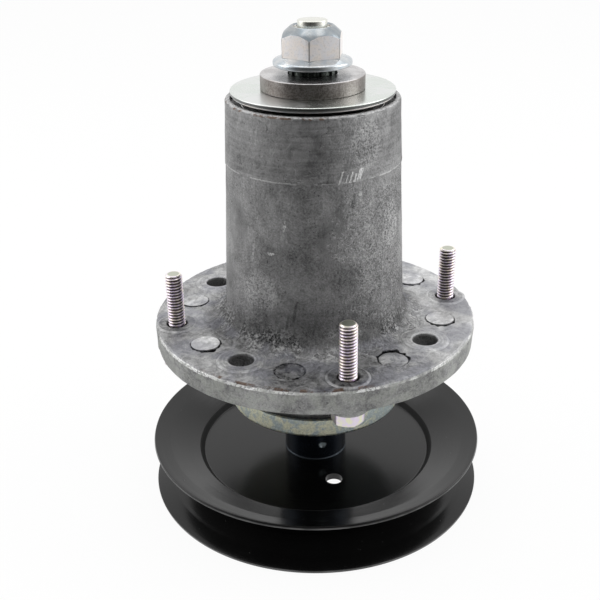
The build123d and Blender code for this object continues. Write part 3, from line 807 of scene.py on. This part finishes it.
def housing_outline(seat):
    """The casting's section: dense where its skin shows, plain in its bore."""
    flange_bottom, flange_top, parting = housing_heights(seat)
    slope = tan(BARREL_DRAFT)
    upper = BARREL_TOP_RADIUS + PARTING_DROP * slope
    lower = upper - PARTING_STEP
    root = lower + (parting - flange_top) * slope
    boss_root = LOWER_BOSS_RADIUS + BOSS_LENGTH * tan(LOWER_BOSS_DRAFT)
    lower_seat = seat.bottom + LOWER_BOSS_LIP
    upper_seat_top = seat.top - MOUTH_DEPTH
    core = SEAT_RADIUS - SEAT_SHOULDER
    corners = [
        (MOUTH_RADIUS, upper_seat_top), (MOUTH_RADIUS, seat.top, 0.3),
        (BARREL_TOP_RADIUS, seat.top, BARREL_EDGE), (upper, parting + 0.2, 0.1),
        (upper, parting - 0.1, 0.1), (lower, parting - 0.3, 0.1), (root, flange_top, ROOT_FILLET),
        (seat.radius - LAND_INSET, flange_top, 0.3), (seat.radius, flange_top - FLASH_DROP, 0.3),
        (seat.radius, flange_top - FLASH_DROP - FLASH_WIDTH, 0.4),
        (seat.radius - RIM_BOTTOM_INSET, flange_bottom, RIM_BOTTOM_EDGE),
        (boss_root, flange_bottom, BOSS_FILLET), (LOWER_BOSS_RADIUS, seat.bottom, LOWER_BOSS_EDGE),
        (LOWER_BOSS_MOUTH, seat.bottom, 0.3), (LOWER_BOSS_MOUTH, lower_seat),
        (SEAT_RADIUS, lower_seat), (SEAT_RADIUS, lower_seat + BEARING_WIDTH),
        (core, lower_seat + BEARING_WIDTH), (core, upper_seat_top - BEARING_WIDTH),
        (SEAT_RADIUS, upper_seat_top - BEARING_WIDTH), (SEAT_RADIUS, upper_seat_top),
    ]
    outline = rounded(corners, step=8)
    inside = SEAT_RADIUS + 5
    face = flange_top - 0.2
    outline = divided(outline, SKIN_STEP, lambda radius, height: radius > inside and height > face)
    rim = seat.radius - 1
    return divided(outline, RIM_STEP, lambda radius, height: radius > rim and height > flange_bottom)


def weather_casting(seat):
    """The casting's faults: lumpy skin, a rough root, a ragged rim with ground spots and a chipped mouth."""
    _, flange_top, parting = housing_heights(seat)

    def shape(angle, radius, height):
        # Lumps of three sizes all over the outside, deeper in the root and upright on the face
        outside = smooth_step(radius, SEAT_RADIUS + 2, SEAT_RADIUS + 4)
        broad = lumps(angle, radius, height, 9, 1)
        middle = lumps(angle, radius, height, 2.6, 2)
        fine = lumps(angle, radius, height, 1.1, 3)
        skin = outside * (0.10 * broad + 0.05 * middle + 0.02 * fine)
        near_root = smooth_step(radius, 53, 47) * smooth_step(height, flange_top + 16, flange_top + 6)
        near_root = near_root * smooth_step(height, flange_top - 2, flange_top - 1)
        patch = smooth_step(lumps(angle, radius, height, 11, 4), -0.15, 0.25)
        skin = skin + near_root * patch * (0.34 * middle + 0.26 * fine)
        flat = smooth_step(radius, 50, 56) * smooth_step(height, flange_top - 0.6, flange_top - 0.2)
        radius = radius + skin * (1 - flat)
        height = height + skin * flat * 0.6

        # The rim's ragged flash, and the spots where it was ground off
        flash = smooth_step(height, flange_top - 2.6, flange_top - 1.6) * smooth_step(radius, 72, 73)
        radius = radius - flash * (0.12 + 0.75 * np.abs(lumps(angle, radius, height, 2.6, 5)))
        for ground, depth in GROUND_SPOTS:
            chord = (seat.radius - depth) / np.maximum(np.cos(angle - radians(ground)), 0.5)
            radius = np.where(radius > chord, chord + 0.04 * middle, radius)

        # The bead along the parting line and the chips round the mouth
        bead = np.exp(-(((height - parting) / 0.35) ** 2)) * outside
        radius = radius + bead * np.clip(0.10 + 0.28 * lumps(angle, radius, height, 4, 6), 0, 0.3)
        mouth = smooth_step(height, seat.top - 1.6, seat.top - 0.6) * smooth_step(radius, 36.2, 36.8)
        chips = np.clip(lumps(angle, radius, height, 2.0, 7) - 0.12, 0, 1)
        return radius - mouth * chips * 0.9, height - mouth * chips * 0.5

    return shape


def disc(radius, bottom, top, ragged=0.0, edge=0.2, slope=(0.1, 0.1), segments=96, seed=0):
    """A short upright disc. Its side wanders by ragged millimetres, and its top edge slopes in and down."""
    inward, down = slope
    outline = rounded([
        (0, bottom), (radius, bottom), (radius, top - down), (radius - inward, top, edge), (0, top),
    ])

    def shape(angle, reach, height):
        wander = lumps(angle, np.ones_like(reach) * radius, 0 * height, 1.8, seed) * ragged
        wander = wander + lumps(angle, np.ones_like(reach) * radius, 0 * height, 4.5, seed + 1) * ragged
        return reach + wander * (reach > radius * 0.8), height

    return lathe(outline, segments, shape=shape if ragged else None)


def moat(radius, bottom, top, width, open_side, seed):
    """The ragged gap round an ejector pin mark: wide and deep on its open side, closed up on the other."""
    outline = rounded([(radius, bottom), (radius + width, bottom), (radius + width, top), (radius, top)])

    def shape(angle, reach, height):
        ragged = lumps(angle, np.full_like(reach, radius), 0 * height, 1.6, seed)
        opening = (0.5 + 0.5 * np.cos(angle - radians(open_side)))**1.5
        gap = np.maximum(width * (0.25 + 0.75 * opening) * (1 + 0.9 * ragged), 0.06)
        floor = height + (top - 2 - bottom) * (1 - opening) * 0.8
        return (
            np.where(reach > radius + width / 2, radius + gap, radius) + 0.25 * ragged,
            np.where(height < (bottom + top) / 2, floor, height),
        )

    return lathe(outline, 112, shape=shape)


def make_housing(finish):
    seat = Seat("spindle_housing")
    flange_bottom, flange_top, _ = housing_heights(seat)
    face = flange_top + BOSS_RAISE
    body = lathe(housing_outline(seat), HOUSING_SEGMENTS, shape=weather_casting(seat))
    cuts = []
    sinks = []
    joins = []
    holes = []
    for index in range(2 * STUD_COUNT):
        x, y = polar(PIN_MARK_CIRCLE, PIN_MARK_START + index * 180 / STUD_COUNT)
        gap = moat(
            PIN_MARK_RADIUS - 0.2, flange_top - MARK_GAP_DEPTH, flange_top + 2, MARK_GAP_WIDTHS[index],
            MARK_GAP_SIDES[index], 40 + index,
        )
        cuts.append(gap.moved(x, y))
        if index in SUNK_PIN_MARKS:
            bottom = flange_top - PIN_MARK_DEPTH
            sinks.append(disc(PIN_MARK_RADIUS, bottom, flange_top + 2, 0.25, seed=20 + index).moved(x, y))
        else:
            top = flange_top + PIN_MARK_RAISE
            joins.append(disc(PIN_MARK_RADIUS, flange_top - 2, top, 0.22, 0.1, seed=60 + index).moved(x, y))
    for index in range(STUD_COUNT):
        turn = index * 360 / STUD_COUNT
        for circle, angle, boss, hole in (
            (STUD_CIRCLE, turn, STUD_BOSS_RADIUS, STUD_HOLE_RADIUS),
            (OPEN_CIRCLE, turn + 180 / STUD_COUNT, OPEN_BOSS_RADIUS, OPEN_HOLE_RADIUS),
        ):
            x, y = polar(circle, angle)
            slope = (BOSS_SLOPE, BOSS_RAISE)
            ring = disc(boss, flange_bottom + 0.5, face, 0.05, 0.25, slope, seed=index)
            pad = disc(PAD_RADIUS, flange_bottom - PAD_HEIGHT, flange_bottom + 2, edge=0.0)
            joins += [ring.moved(x, y), pad.moved(x, y)]
            bore = rounded([
                (0, flange_bottom - 5), (hole, flange_bottom - 5), (hole, face - 0.35),
                (hole + 0.45, face + 0.1), (hole + 0.45, face + 2), (0, face + 2),
            ])
            holes.append(lathe(bore, 72).moved(x, y))
    add_piece(
        body, "housing_casting", "housing", finish, ["spindle_housing"], 38,
        [
            ("DIFFERENCE", joined(cuts)),
            ("DIFFERENCE", joined(sinks)),
            ("UNION", joined(joins)),
            ("DIFFERENCE", joined(holes)),
        ],
    )


def hexagon(angle, across_flats, turn, softness=0.25):
    """How far a hexagon with soft corners reaches in each direction. Its first corner is at turn degrees."""
    from_flat = (angle - radians(turn)) % (pi / 3) - pi / 6
    corner = across_flats / 3**0.5
    return soft_min(across_flats / 2 / np.cos(from_flat), corner - 0.15 + 0 * angle, softness)


# Threads: depth as a share of the pitch, steepness of the flanks and width of the flat crest
THREAD_DEPTH_SHARE = 0.58
THREAD_FLANK = 1.35
THREAD_CREST = 0.12


def thread(angle, radius, height, pitch):
    """The radius with a single-start thread cut into it."""
    phase = (height / pitch - angle / (2 * pi)) % 1
    ridge = np.clip(np.abs(2 * phase - 1) * THREAD_FLANK - THREAD_CREST, 0, 1)
    return radius - ridge * pitch * THREAD_DEPTH_SHARE


# Blade nut sizes
NUT_ACROSS_FLATS = 23.8
NUT_TURN = 12.3
NUT_FLANGE_EDGE = 2.1
NUT_FLANGE_RISE = 3.9
NUT_CROWN_RADIUS = 9.0
NUT_CROWN_DROP = 4.6
NUT_CROWN_BULGE = 0.1
NUT_BORE = 7.96
NUT_MOUTH = 8.5


def make_blade_nut(finish):
    seat = Seat("blade_nut")
    corner = NUT_ACROSS_FLATS / 3**0.5
    crown_start = seat.top - NUT_CROWN_DROP
    corners = [polar(corner, NUT_TURN + side * 60) for side in range(6)]
    crown_slope = (corner + 0.4 - NUT_CROWN_RADIUS) / NUT_CROWN_DROP
    shoulder = (corner + NUT_CROWN_RADIUS) / 2 + NUT_CROWN_BULGE
    crown = rounded([
        (0, seat.bottom - 1), (corner + 2, seat.bottom - 1),
        (corner + 2, crown_start - 2 / crown_slope),
        (shoulder, (crown_start + seat.top) / 2 + NUT_CROWN_BULGE, 6.0),
        (NUT_CROWN_RADIUS, seat.top, 0.8), (0, seat.top),
    ], step=6)
    flange = rounded([
        (0, seat.bottom), (seat.radius, seat.bottom, 0.7),
        (seat.radius, seat.bottom + NUT_FLANGE_EDGE, 1.1),
        (NUT_ACROSS_FLATS / 2, seat.bottom + NUT_FLANGE_RISE, 2.0),
        (NUT_ACROSS_FLATS / 2 - 2, seat.bottom + NUT_FLANGE_RISE),
        (0, seat.bottom + NUT_FLANGE_RISE),
    ])
    bore = rounded([
        (0, seat.bottom - 1), (NUT_BORE, seat.bottom - 1),
        (NUT_BORE, seat.top + NUT_BORE - NUT_MOUTH), (NUT_MOUTH + 1, seat.top + 1),
        (0, seat.top + 1),
    ])
    body = prism(corners, seat.bottom, seat.top)
    steps = [
        ("INTERSECT", lathe(crown, 120)), ("UNION", lathe(flange, 144)), ("DIFFERENCE", lathe(bore, 96)),
    ]
    add_piece(body, "flange_nut", "rotor", finish, ["blade_nut"], 30, steps, bevel=0.3)


# Bolt sizes
BOLT_RADIUS = 3.87
BOLT_TIP_RISE = 0.7
BOLT_HEAD_SAG = 1.1
BOLT_SHANK_RADIUS = 3.55
BOLT_PITCH = 1.411
BOLT_HEAD_ACROSS_FLATS = 12.7
BOLT_HEAD_HEIGHT = 5.3
BOLT_HEAD_TURNS = (17.0, 44.0, 8.0, 36.6)
BOLT_TIP_CHAMFER = 0.8


def make_bolts(finish):
    seat = Seat("flange_bolts")
    head_top = seat.bottom + BOLT_HEAD_HEIGHT
    seat.bottom -= BOLT_HEAD_SAG
    seat.top += BOLT_TIP_RISE
    thread_start = housing_heights(Seat("spindle_housing"))[1]
    corner = BOLT_HEAD_ACROSS_FLATS / 3**0.5
    outline = rounded([
        (0, seat.bottom), (BOLT_HEAD_ACROSS_FLATS / 2 - 0.4, seat.bottom, 0.2),
        (corner + 0.3, seat.bottom + 0.8), (corner + 0.3, head_top - 0.15, 0.1),
        (corner, head_top), (BOLT_SHANK_RADIUS, head_top, 0.2),
        (BOLT_SHANK_RADIUS, thread_start, 0.05), (BOLT_RADIUS, thread_start + 0.1, 0.05),
        (BOLT_RADIUS, seat.top - BOLT_TIP_CHAMFER, 0.2),
        (BOLT_RADIUS - BOLT_TIP_CHAMFER, seat.top, 0.2), (0, seat.top),
    ])
    outline = divided(outline, 0.1, lambda radius, height: radius > 3.2 and height > thread_start + 0.1)
    outline = divided(outline, 0.25, lambda radius, height: radius > 4.5 and height < head_top)

    def bolt(turn):
        def shape(angle, radius, height):
            head = (radius > 5) & (height < head_top + 0.01)
            flats = hexagon(angle, BOLT_HEAD_ACROSS_FLATS, turn)
            radius = np.where(head, soft_min(radius, flats, 0.3), radius)
            cut = thread(angle, np.full_like(radius, BOLT_RADIUS), height, BOLT_PITCH)
            threaded = (height > thread_start + 0.3) & (radius > 0.5)
            return np.where(threaded, np.minimum(radius, cut), radius), height

        return lathe(outline, BOLT_SEGMENTS, turn, shape)

    forms = []
    for index, turn in enumerate(BOLT_HEAD_TURNS):
        x, y = polar(STUD_CIRCLE, index * 360 / STUD_COUNT)
        forms.append(bolt(turn).moved(x, y))
    add_piece(joined(forms), "threaded_bolts", "housing", finish, ["flange_bolts"], 50)


# Shaft sizes
SHAFT_THREAD_RADIUS = 7.94
SHAFT_PITCH = 1.411
PILOT_RADIUS = 6.2
PILOT_LENGTH = 3.2
SHAFT_EDGE = 0.35
SPLINE_RADIUS = 10.3
SPLINE_DEPTH = 1.4
SPLINE_TEETH = 12
JOURNAL_RADIUS = 12.5
PULLEY_SEAT_RADIUS = 9.525


def make_shaft(finish):
    seat = Seat("spindle_shaft")
    nut = Seat("blade_nut")
    pulley_nut = Seat("pulley_nut")
    spline_bottom = Seat("upper_collar").top
    journal_bottom = Seat("lower_collar").bottom
    seat_bottom = Seat("pulley_hub").bottom + 0.5
    thread_end = seat.top - PILOT_LENGTH
    outline = rounded([
        (0, seat.bottom), (SHAFT_THREAD_RADIUS - 0.5, seat.bottom, 0.2),
        (SHAFT_THREAD_RADIUS, seat.bottom + 0.5, 0.2), (SHAFT_THREAD_RADIUS, seat_bottom),
        (PULLEY_SEAT_RADIUS, seat_bottom, 0.2), (PULLEY_SEAT_RADIUS, journal_bottom),
        (JOURNAL_RADIUS, journal_bottom, 0.5), (JOURNAL_RADIUS, spline_bottom, 0.5),
        (SPLINE_RADIUS, spline_bottom), (SPLINE_RADIUS, nut.bottom, 0.4),
        (SHAFT_THREAD_RADIUS, nut.bottom), (SHAFT_THREAD_RADIUS, thread_end),
        (PILOT_RADIUS, thread_end), (PILOT_RADIUS, seat.top, SHAFT_EDGE), (0, seat.top),
    ])
    outline = divided(outline, 0.12, lambda radius, height: thread_end - 2 < height < thread_end - 0.1)
    outline = divided(outline, 0.12, lambda radius, height: height < pulley_nut.bottom + 2 and radius > 5)

    def shape(angle, radius, height):
        gap = np.abs((angle * SPLINE_TEETH / (2 * pi)) % 1 - 0.5) * 2
        splined = (height > spline_bottom + 0.1) & (height < nut.bottom + 0.1)
        splined &= radius > SHAFT_THREAD_RADIUS + 0.3
        radius = np.where(splined, radius - SPLINE_DEPTH * smooth_step(gap, 0.40, 0.62), radius)
        cut = thread(angle, np.full_like(radius, SHAFT_THREAD_RADIUS), height, SHAFT_PITCH)
        threaded = (height > thread_end - 2) | (height < pulley_nut.bottom + 2)
        threaded &= radius > PILOT_RADIUS + 0.5
        return np.where(threaded, np.minimum(radius, cut), radius), height

    body = lathe(outline, SHAFT_SEGMENTS, shape=shape)
    add_piece(body, "splined_shaft", "rotor", finish, ["spindle_shaft"])


def washer(node, inner, edges, wave, wider):
    """A flat washer on its CAD seat, with roundings of its lower and upper edge, waves, and more radius."""
    seat = Seat(node)
    seat.radius += wider
    outline = rounded([
        (inner, seat.bottom, 0.1), (seat.radius, seat.bottom, edges[0]),
        (seat.radius, seat.top, edges[1]), (inner, seat.top, 0.1),
    ])
    outline = divided(outline, 2.0)

    def shape(angle, radius, height):
        dip = np.clip(lumps(angle, radius, 0 * height, 14, 9) + 0.4, 0, 1)
        return radius, height - wave * dip * (radius > inner + 3)

    return lathe(outline, WASHER_SEGMENTS, shape=shape if wave else None)


WASHER_PLAY = 0.15
# Washers: node, name, bore radius, edge roundings, waves, extra radius, slot and finish
WASHERS = (
    ("blade_washer", "thick_washer", SPLINE_RADIUS, (0.35, 0.45), 0, 0, "turned_steel", "washer_steel"),
    ("blade_end_shield", "shield_washer", SPLINE_RADIUS, (0.3, 0.45), 0.05, 0.15,
     "bright_zinc", "shield_zinc"),
    ("shield_backing_washer", "backing_washer", SPLINE_RADIUS, (0.3, 0.2), 0, 1.2,
     "bright_zinc", "bright_zinc"),
    ("pulley_washer", "pulley_end_washer", SHAFT_THREAD_RADIUS, (0.3, 0.3), 0, 0,
     "bright_zinc", "bright_zinc"),
)


def pressed(line, thickness, edge=0.3):
    """The outline of a sheet of some thickness, pressed along a centre line of rounded corners."""
    middle = rounded([(*line[0][:2],)] + line[1:-1] + [(*line[-1][:2],)], step=6, closed=False)
    along = np.gradient(middle, axis=0)
    along /= np.linalg.norm(along, axis=1)[:, None]
    side = np.stack([-along[:, 1], along[:, 0]], axis=1) * thickness / 2
    one, other = middle + side, (middle - side)[::-1]
    corners = [(*one[0], edge), *map(tuple, one[1:-1]), (*one[-1], edge)]
    corners += [(*other[0], edge), *map(tuple, other[1:-1]), (*other[-1], edge)]
    return rounded(corners)


CUP_SHEET = 1.5
CUP_BEND = 1.0
CUP_SAG = 1.3


def make_dust_cup(finish):
    seat = Seat("lower_dust_cup")
    wall = seat.radius - CUP_SHEET / 2
    floor = seat.bottom + CUP_SHEET / 2 - CUP_SAG
    line = [(PULLEY_SEAT_RADIUS + 0.1, floor), (wall, floor, CUP_BEND), (wall, seat.top)]
    outline = divided(pressed(line, CUP_SHEET), 1.2)

    def shape(angle, radius, height):
        dent = lumps(angle, radius, height, 12, 12) * smooth_step(radius, 30, 39)
        return radius - np.clip(dent, 0, 1) * 0.12, height

    body = lathe(outline, SHAFT_SEGMENTS, shape=shape)
    add_piece(body, "dust_cup", "rotor", finish, ["lower_dust_cup"])


# Pulley sizes
SHEET = 1.6
LIP_WIDTH = 7.328
LIP_ANGLE = radians(18)
FLANK_WIDTH = 14.5
FLANK_ANGLE = radians(23.5)
STEP_WIDTH = 1.9
STEP_RADIUS = 55.4
PRESS_BEND = 1.5
WEB_HOLE_CIRCLE = 31.5
WEB_HOLE_ANGLE = 273.6
WEB_HOLE_RADIUS = 4.0
HUB_SPIGOT_RADIUS = 13.3


def make_pulley_half(node, name, side, finish):
    """One pressed sheet of the pulley; side is 1 for the upper and -1 for the lower."""
    seat = Seat(node)
    web = seat.bottom if side > 0 else seat.top
    rise = seat.top - seat.bottom
    rim = seat.radius - SHEET / 2 * sin(LIP_ANGLE)
    rim_rise = rise - SHEET / 2 * cos(LIP_ANGLE)
    bend = rim - LIP_WIDTH
    bend_rise = rim_rise - LIP_WIDTH * tan(LIP_ANGLE)
    flank = bend - FLANK_WIDTH
    flank_rise = bend_rise - FLANK_WIDTH * tan(FLANK_ANGLE)
    line = [
        (HUB_SPIGOT_RADIUS + 0.02, web + side * SHEET / 2),
        (flank - STEP_WIDTH, web + side * SHEET / 2, PRESS_BEND),
        (flank, web + side * flank_rise, PRESS_BEND), (bend, web + side * bend_rise, PRESS_BEND),
        (rim, web + side * rim_rise),
    ]
    outline = divided(pressed(line, SHEET, 0.35), 3.0)
    x, y = polar(WEB_HOLE_CIRCLE, WEB_HOLE_ANGLE)
    hole = disc(WEB_HOLE_RADIUS, web - 3, web + 3, edge=0.0, segments=72).moved(x, y)
    body = lathe(outline, SHEAVE_SEGMENTS)
    add_piece(body, name, "rotor", finish, [node], tools=[("DIFFERENCE", hole)])


HUB_SHOULDER = 1.6
HUB_TOE = 0.7
HUB_CHAMFER = 0.6
HUB_BORE = 9.545
PUNCH_ANGLE = 270.8
PUNCH_RISE = 8.6
PUNCH_SIZE = (1.3, 2.3, 0.9)


def make_hub(finish):
    seat = Seat("pulley_hub")
    web_bottom = Seat("pulley_lower_half").top - SHEET
    web_top = web_bottom + 2 * SHEET
    radius = HUB_SPIGOT_RADIUS + HUB_SHOULDER
    outline = rounded([
        (HUB_BORE, seat.bottom), (seat.radius, seat.bottom, HUB_CHAMFER),
        (seat.radius, web_bottom), (HUB_SPIGOT_RADIUS, web_bottom), (HUB_SPIGOT_RADIUS, web_top),
        (radius + HUB_TOE / 2, web_top, 0.1), (radius, web_top + HUB_TOE, 0.2),
        (radius, seat.top - CUP_SAG, HUB_CHAMFER), (HUB_BORE, seat.top - CUP_SAG),
    ])
    ball = rounded([(0, -1)] + [polar(1, turn) for turn in range(-80, 90, 10)] + [(0, 1)])
    punch = lathe(ball, 48)
    punch.points = punch.points * np.array([PUNCH_SIZE[2], PUNCH_SIZE[0], PUNCH_SIZE[1]])
    turn = radians(PUNCH_ANGLE)
    spin = np.array([[cos(turn), sin(turn), 0], [-sin(turn), cos(turn), 0], [0, 0, 1]])
    punch.points = punch.points @ spin
    x, y = polar(radius + 0.15, PUNCH_ANGLE)
    body = lathe(outline, WASHER_SEGMENTS)
    cut = ("DIFFERENCE", punch.moved(x, y, web_top + PUNCH_RISE))
    add_piece(body, "hub_tube", "rotor", finish, ["pulley_hub"], tools=[cut])


PULLEY_NUT_ACROSS_FLATS = 23.8
PULLEY_NUT_TURN = 4.0
PULLEY_NUT_CROWN = 0.9


def make_pulley_nut(finish):
    seat = Seat("pulley_nut")
    corner = PULLEY_NUT_ACROSS_FLATS / 3**0.5
    face = PULLEY_NUT_ACROSS_FLATS / 2 - PULLEY_NUT_CROWN
    outline = rounded([
        (NUT_BORE, seat.bottom, 0.3), (face, seat.bottom, 0.2),
        (corner + PULLEY_NUT_CROWN, seat.bottom + 2 * PULLEY_NUT_CROWN),
        (corner + PULLEY_NUT_CROWN, seat.top - 2 * PULLEY_NUT_CROWN), (face, seat.top, 0.2),
        (NUT_BORE, seat.top, 0.3),
    ])
    outline = divided(outline, 0.25, lambda radius, height: radius > face)

    def shape(angle, radius, height):
        body = soft_min(radius, hexagon(angle, PULLEY_NUT_ACROSS_FLATS, PULLEY_NUT_TURN), 0.3)
        return np.where(radius > face - 0.5, body, radius), height

    body = lathe(outline, SHAFT_SEGMENTS, PULLEY_NUT_TURN, shape)
    add_piece(body, "hex_nut", "rotor", finish, ["pulley_nut"], 50)


# Studio
def camera_axes():
    """The camera's outward, right and up directions before its roll."""
    outward = Vector((cos(CAMERA_AZIMUTH), sin(CAMERA_AZIMUTH), 0))
    right = Vector((-sin(CAMERA_AZIMUTH), cos(CAMERA_AZIMUTH), 0))
    away = outward * cos(CAMERA_ELEVATION) + Vector((0, 0, sin(CAMERA_ELEVATION)))
    return away, right, right.cross(-away)


def add_camera():
    away, right, up = camera_axes()
    target = right * CAMERA_SIDEWAYS + Vector((0, 0, CAMERA_TARGET_HEIGHT))
    rolled_right = right * cos(CAMERA_ROLL) - up * sin(CAMERA_ROLL)
    rolled_up = right * sin(CAMERA_ROLL) + up * cos(CAMERA_ROLL)
    data = bpy.data.cameras.new("camera")
    data.lens = LENS
    data.sensor_width = SENSOR
    data.clip_start = 0.01
    camera = bpy.data.objects.new("camera", data)
    turn = Matrix((rolled_right, rolled_up, away)).transposed().to_4x4()
    camera.matrix_world = Matrix.Translation((target + away * CAMERA_DISTANCE) * MM) @ turn
    bpy.context.scene.collection.objects.link(camera)
    bpy.context.scene.camera = camera


# The studio's dark side: its direction, where it starts and is full, and how dark it gets
DARK_SIDE = radians(-114)
DARK_START = -0.15
DARK_FULL = 0.97
DARK_DEPTH = 0.97
# The floor in metres: where it starts and ends to take part in the dark side, and its size
NEAR_FLOOR = 0.20
FAR_FLOOR = 0.45
FLOOR_SIZE = 12.0
FLOOR_SHARE = 0.93
FLOOR_TONE = 0.95
AMBIENT = 0.7
# Soft boxes: name, degrees round from the camera, degrees up, metres away, width and height, and watts
LAMPS = (
    ("left_box", -95, 25, 1.1, (0.7, 1.0), 3.2),
    ("right_box", 95, 25, 1.1, (0.7, 1.0), 4),
    ("top_box", 180, 70, 1.2, (1.0, 1.0), 3.5),
)
LAMP_AIM = Vector((0, 0, 0.1))


def seen(finish, direction, far=1.0):
    """How bright the studio looks to a ray, dark only beyond the camera, and whether the ray sees it."""
    camera, glossy, transmission = finish.node(
        "LightPath", output=("Is Camera Ray", "Is Glossy Ray", "Is Transmission Ray")
    )
    toward = (cos(DARK_SIDE), sin(DARK_SIDE), 0)
    sides = {0: direction, 1: toward}
    facing = finish.node("VectorMath", {"operation": "DOT_PRODUCT"}, sides, output="Value")
    dark = facing.rise(DARK_START, DARK_FULL) * DARK_DEPTH * far
    mirrored = glossy + transmission
    return camera + mirrored * (1 - dark), camera + mirrored


def add_floor():
    """A plain white floor that keeps a faint shadow."""
    bpy.ops.mesh.primitive_plane_add(size=FLOOR_SIZE)
    floor = bpy.context.object
    floor.name = "floor"
    finish = Finish("floor")
    place = finish.node("TexCoord", output="Object")
    direction = finish.node("VectorMath", {"operation": "NORMALIZE"}, {0: place})
    distance = finish.node("VectorMath", {"operation": "LENGTH"}, {0: place}, output="Value")
    bright, sees = seen(finish, direction, distance.rise(NEAR_FLOOR, FAR_FLOOR))
    matt = finish.node("BsdfDiffuse", sockets={"Color": grey(FLOOR_TONE)})
    glow = finish.node("Emission", sockets={"Color": finish.mix(bright, grey(0), grey(1))})
    surface = finish.node("MixShader", sockets={0: sees * FLOOR_SHARE, 1: matt, 2: glow})
    finish.node("OutputMaterial", sockets={"Surface": surface})
    floor.data.materials.append(finish.material)


def add_air():
    """White all round as seen and in reflections, softer as light."""
    world = bpy.data.worlds.new("studio")
    world.use_nodes = True
    bpy.context.scene.world = world
    finish = Finish("studio", world.node_tree)
    bright, sees = seen(finish, finish.node("TexCoord", output="Generated"))
    light = bright + (1 - sees) * AMBIENT
    colour = finish.mix(light, grey(0), grey(1))
    finish.node("OutputWorld", sockets={"Surface": finish.node("Background", sockets={"Color": colour})})


def add_lamp(name, azimuth, elevation, distance, size, power):
    """A soft box that faces the object."""
    data = bpy.data.lights.new(name, "AREA")
    data.shape = "RECTANGLE"
    data.size, data.size_y = size
    data.energy = power
    lamp = bpy.data.objects.new(name, data)
    azimuth = CAMERA_AZIMUTH + radians(azimuth)
    elevation = radians(elevation)
    away = Vector((cos(azimuth) * cos(elevation), sin(azimuth) * cos(elevation), sin(elevation)))
    lamp.rotation_euler = away.to_track_quat("Z", "Y").to_euler()
    lamp.location = away * distance + LAMP_AIM
    bpy.context.scene.collection.objects.link(lamp)


def add_studio():
    add_camera()
    add_floor()
    add_air()
    for lamp in LAMPS:
        add_lamp(*lamp)
    bpy.context.scene.view_settings.view_transform = "Standard"


def finish_hidden(finishes):
    """The pieces inside keep their CAD shape and get the finish of their slot."""
    slots = {
        "bearing_steel": ["outer_ring", "inner_ring", "balls"],
        "plastic": ["cage"],
        "rubber": ["top_seal", "bottom_seal"],
    }
    for slot, kinds in slots.items():
        for kind in kinds:
            for end in ("upper", "lower"):
                paint_node(f"{end}_bearing_{kind}", finishes[slot])
    for node in ("bearing_spacer", "upper_collar", "lower_collar", "pulley_key"):
        paint_node(node, finishes["turned_steel"])


def paint_node(node, finish):
    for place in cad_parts[node].material_slots:
        place.material = finish


finishes = {
    "cast_aluminium": cast_aluminium(),
    "bright_zinc": bright_zinc(),
    "nut_zinc": nut_zinc(),
    "shield_zinc": shield_zinc(),
    "yellow_zinc": yellow_zinc(),
    "rainbow_zinc": rainbow_zinc(),
    "turned_steel": steel("turned_steel", 0.50, 0.24),
    "washer_steel": washer_steel(),
    "shaft_steel": shaft_steel(),
    "bearing_steel": steel("bearing_steel", 0.62, 0.12),
    "plastic": moulded("plastic", (0.30, 0.16, 0.07, 1), 0.5),
    "rubber": moulded("rubber", (0.015, 0.015, 0.016, 1), 0.6),
    "black_paint": black_paint(),
    "black_oxide": black_oxide(),
}

make_housing(finishes["cast_aluminium"])
make_bolts(finishes["rainbow_zinc"])
make_shaft(finishes["shaft_steel"])
make_blade_nut(finishes["nut_zinc"])
for node, name, bore, edges, wave, wider, slot, finish in WASHERS:
    form = washer(node, bore + WASHER_PLAY, edges, wave, wider)
    add_piece(form, name, "rotor", finishes[finish], [node])
make_dust_cup(finishes["yellow_zinc"])
make_pulley_half("pulley_upper_half", "upper_sheave", 1, finishes["black_paint"])
make_pulley_half("pulley_lower_half", "lower_sheave", -1, finishes["black_paint"])
make_hub(finishes["black_oxide"])
make_pulley_nut(finishes["bright_zinc"])
finish_hidden(finishes)
add_studio()
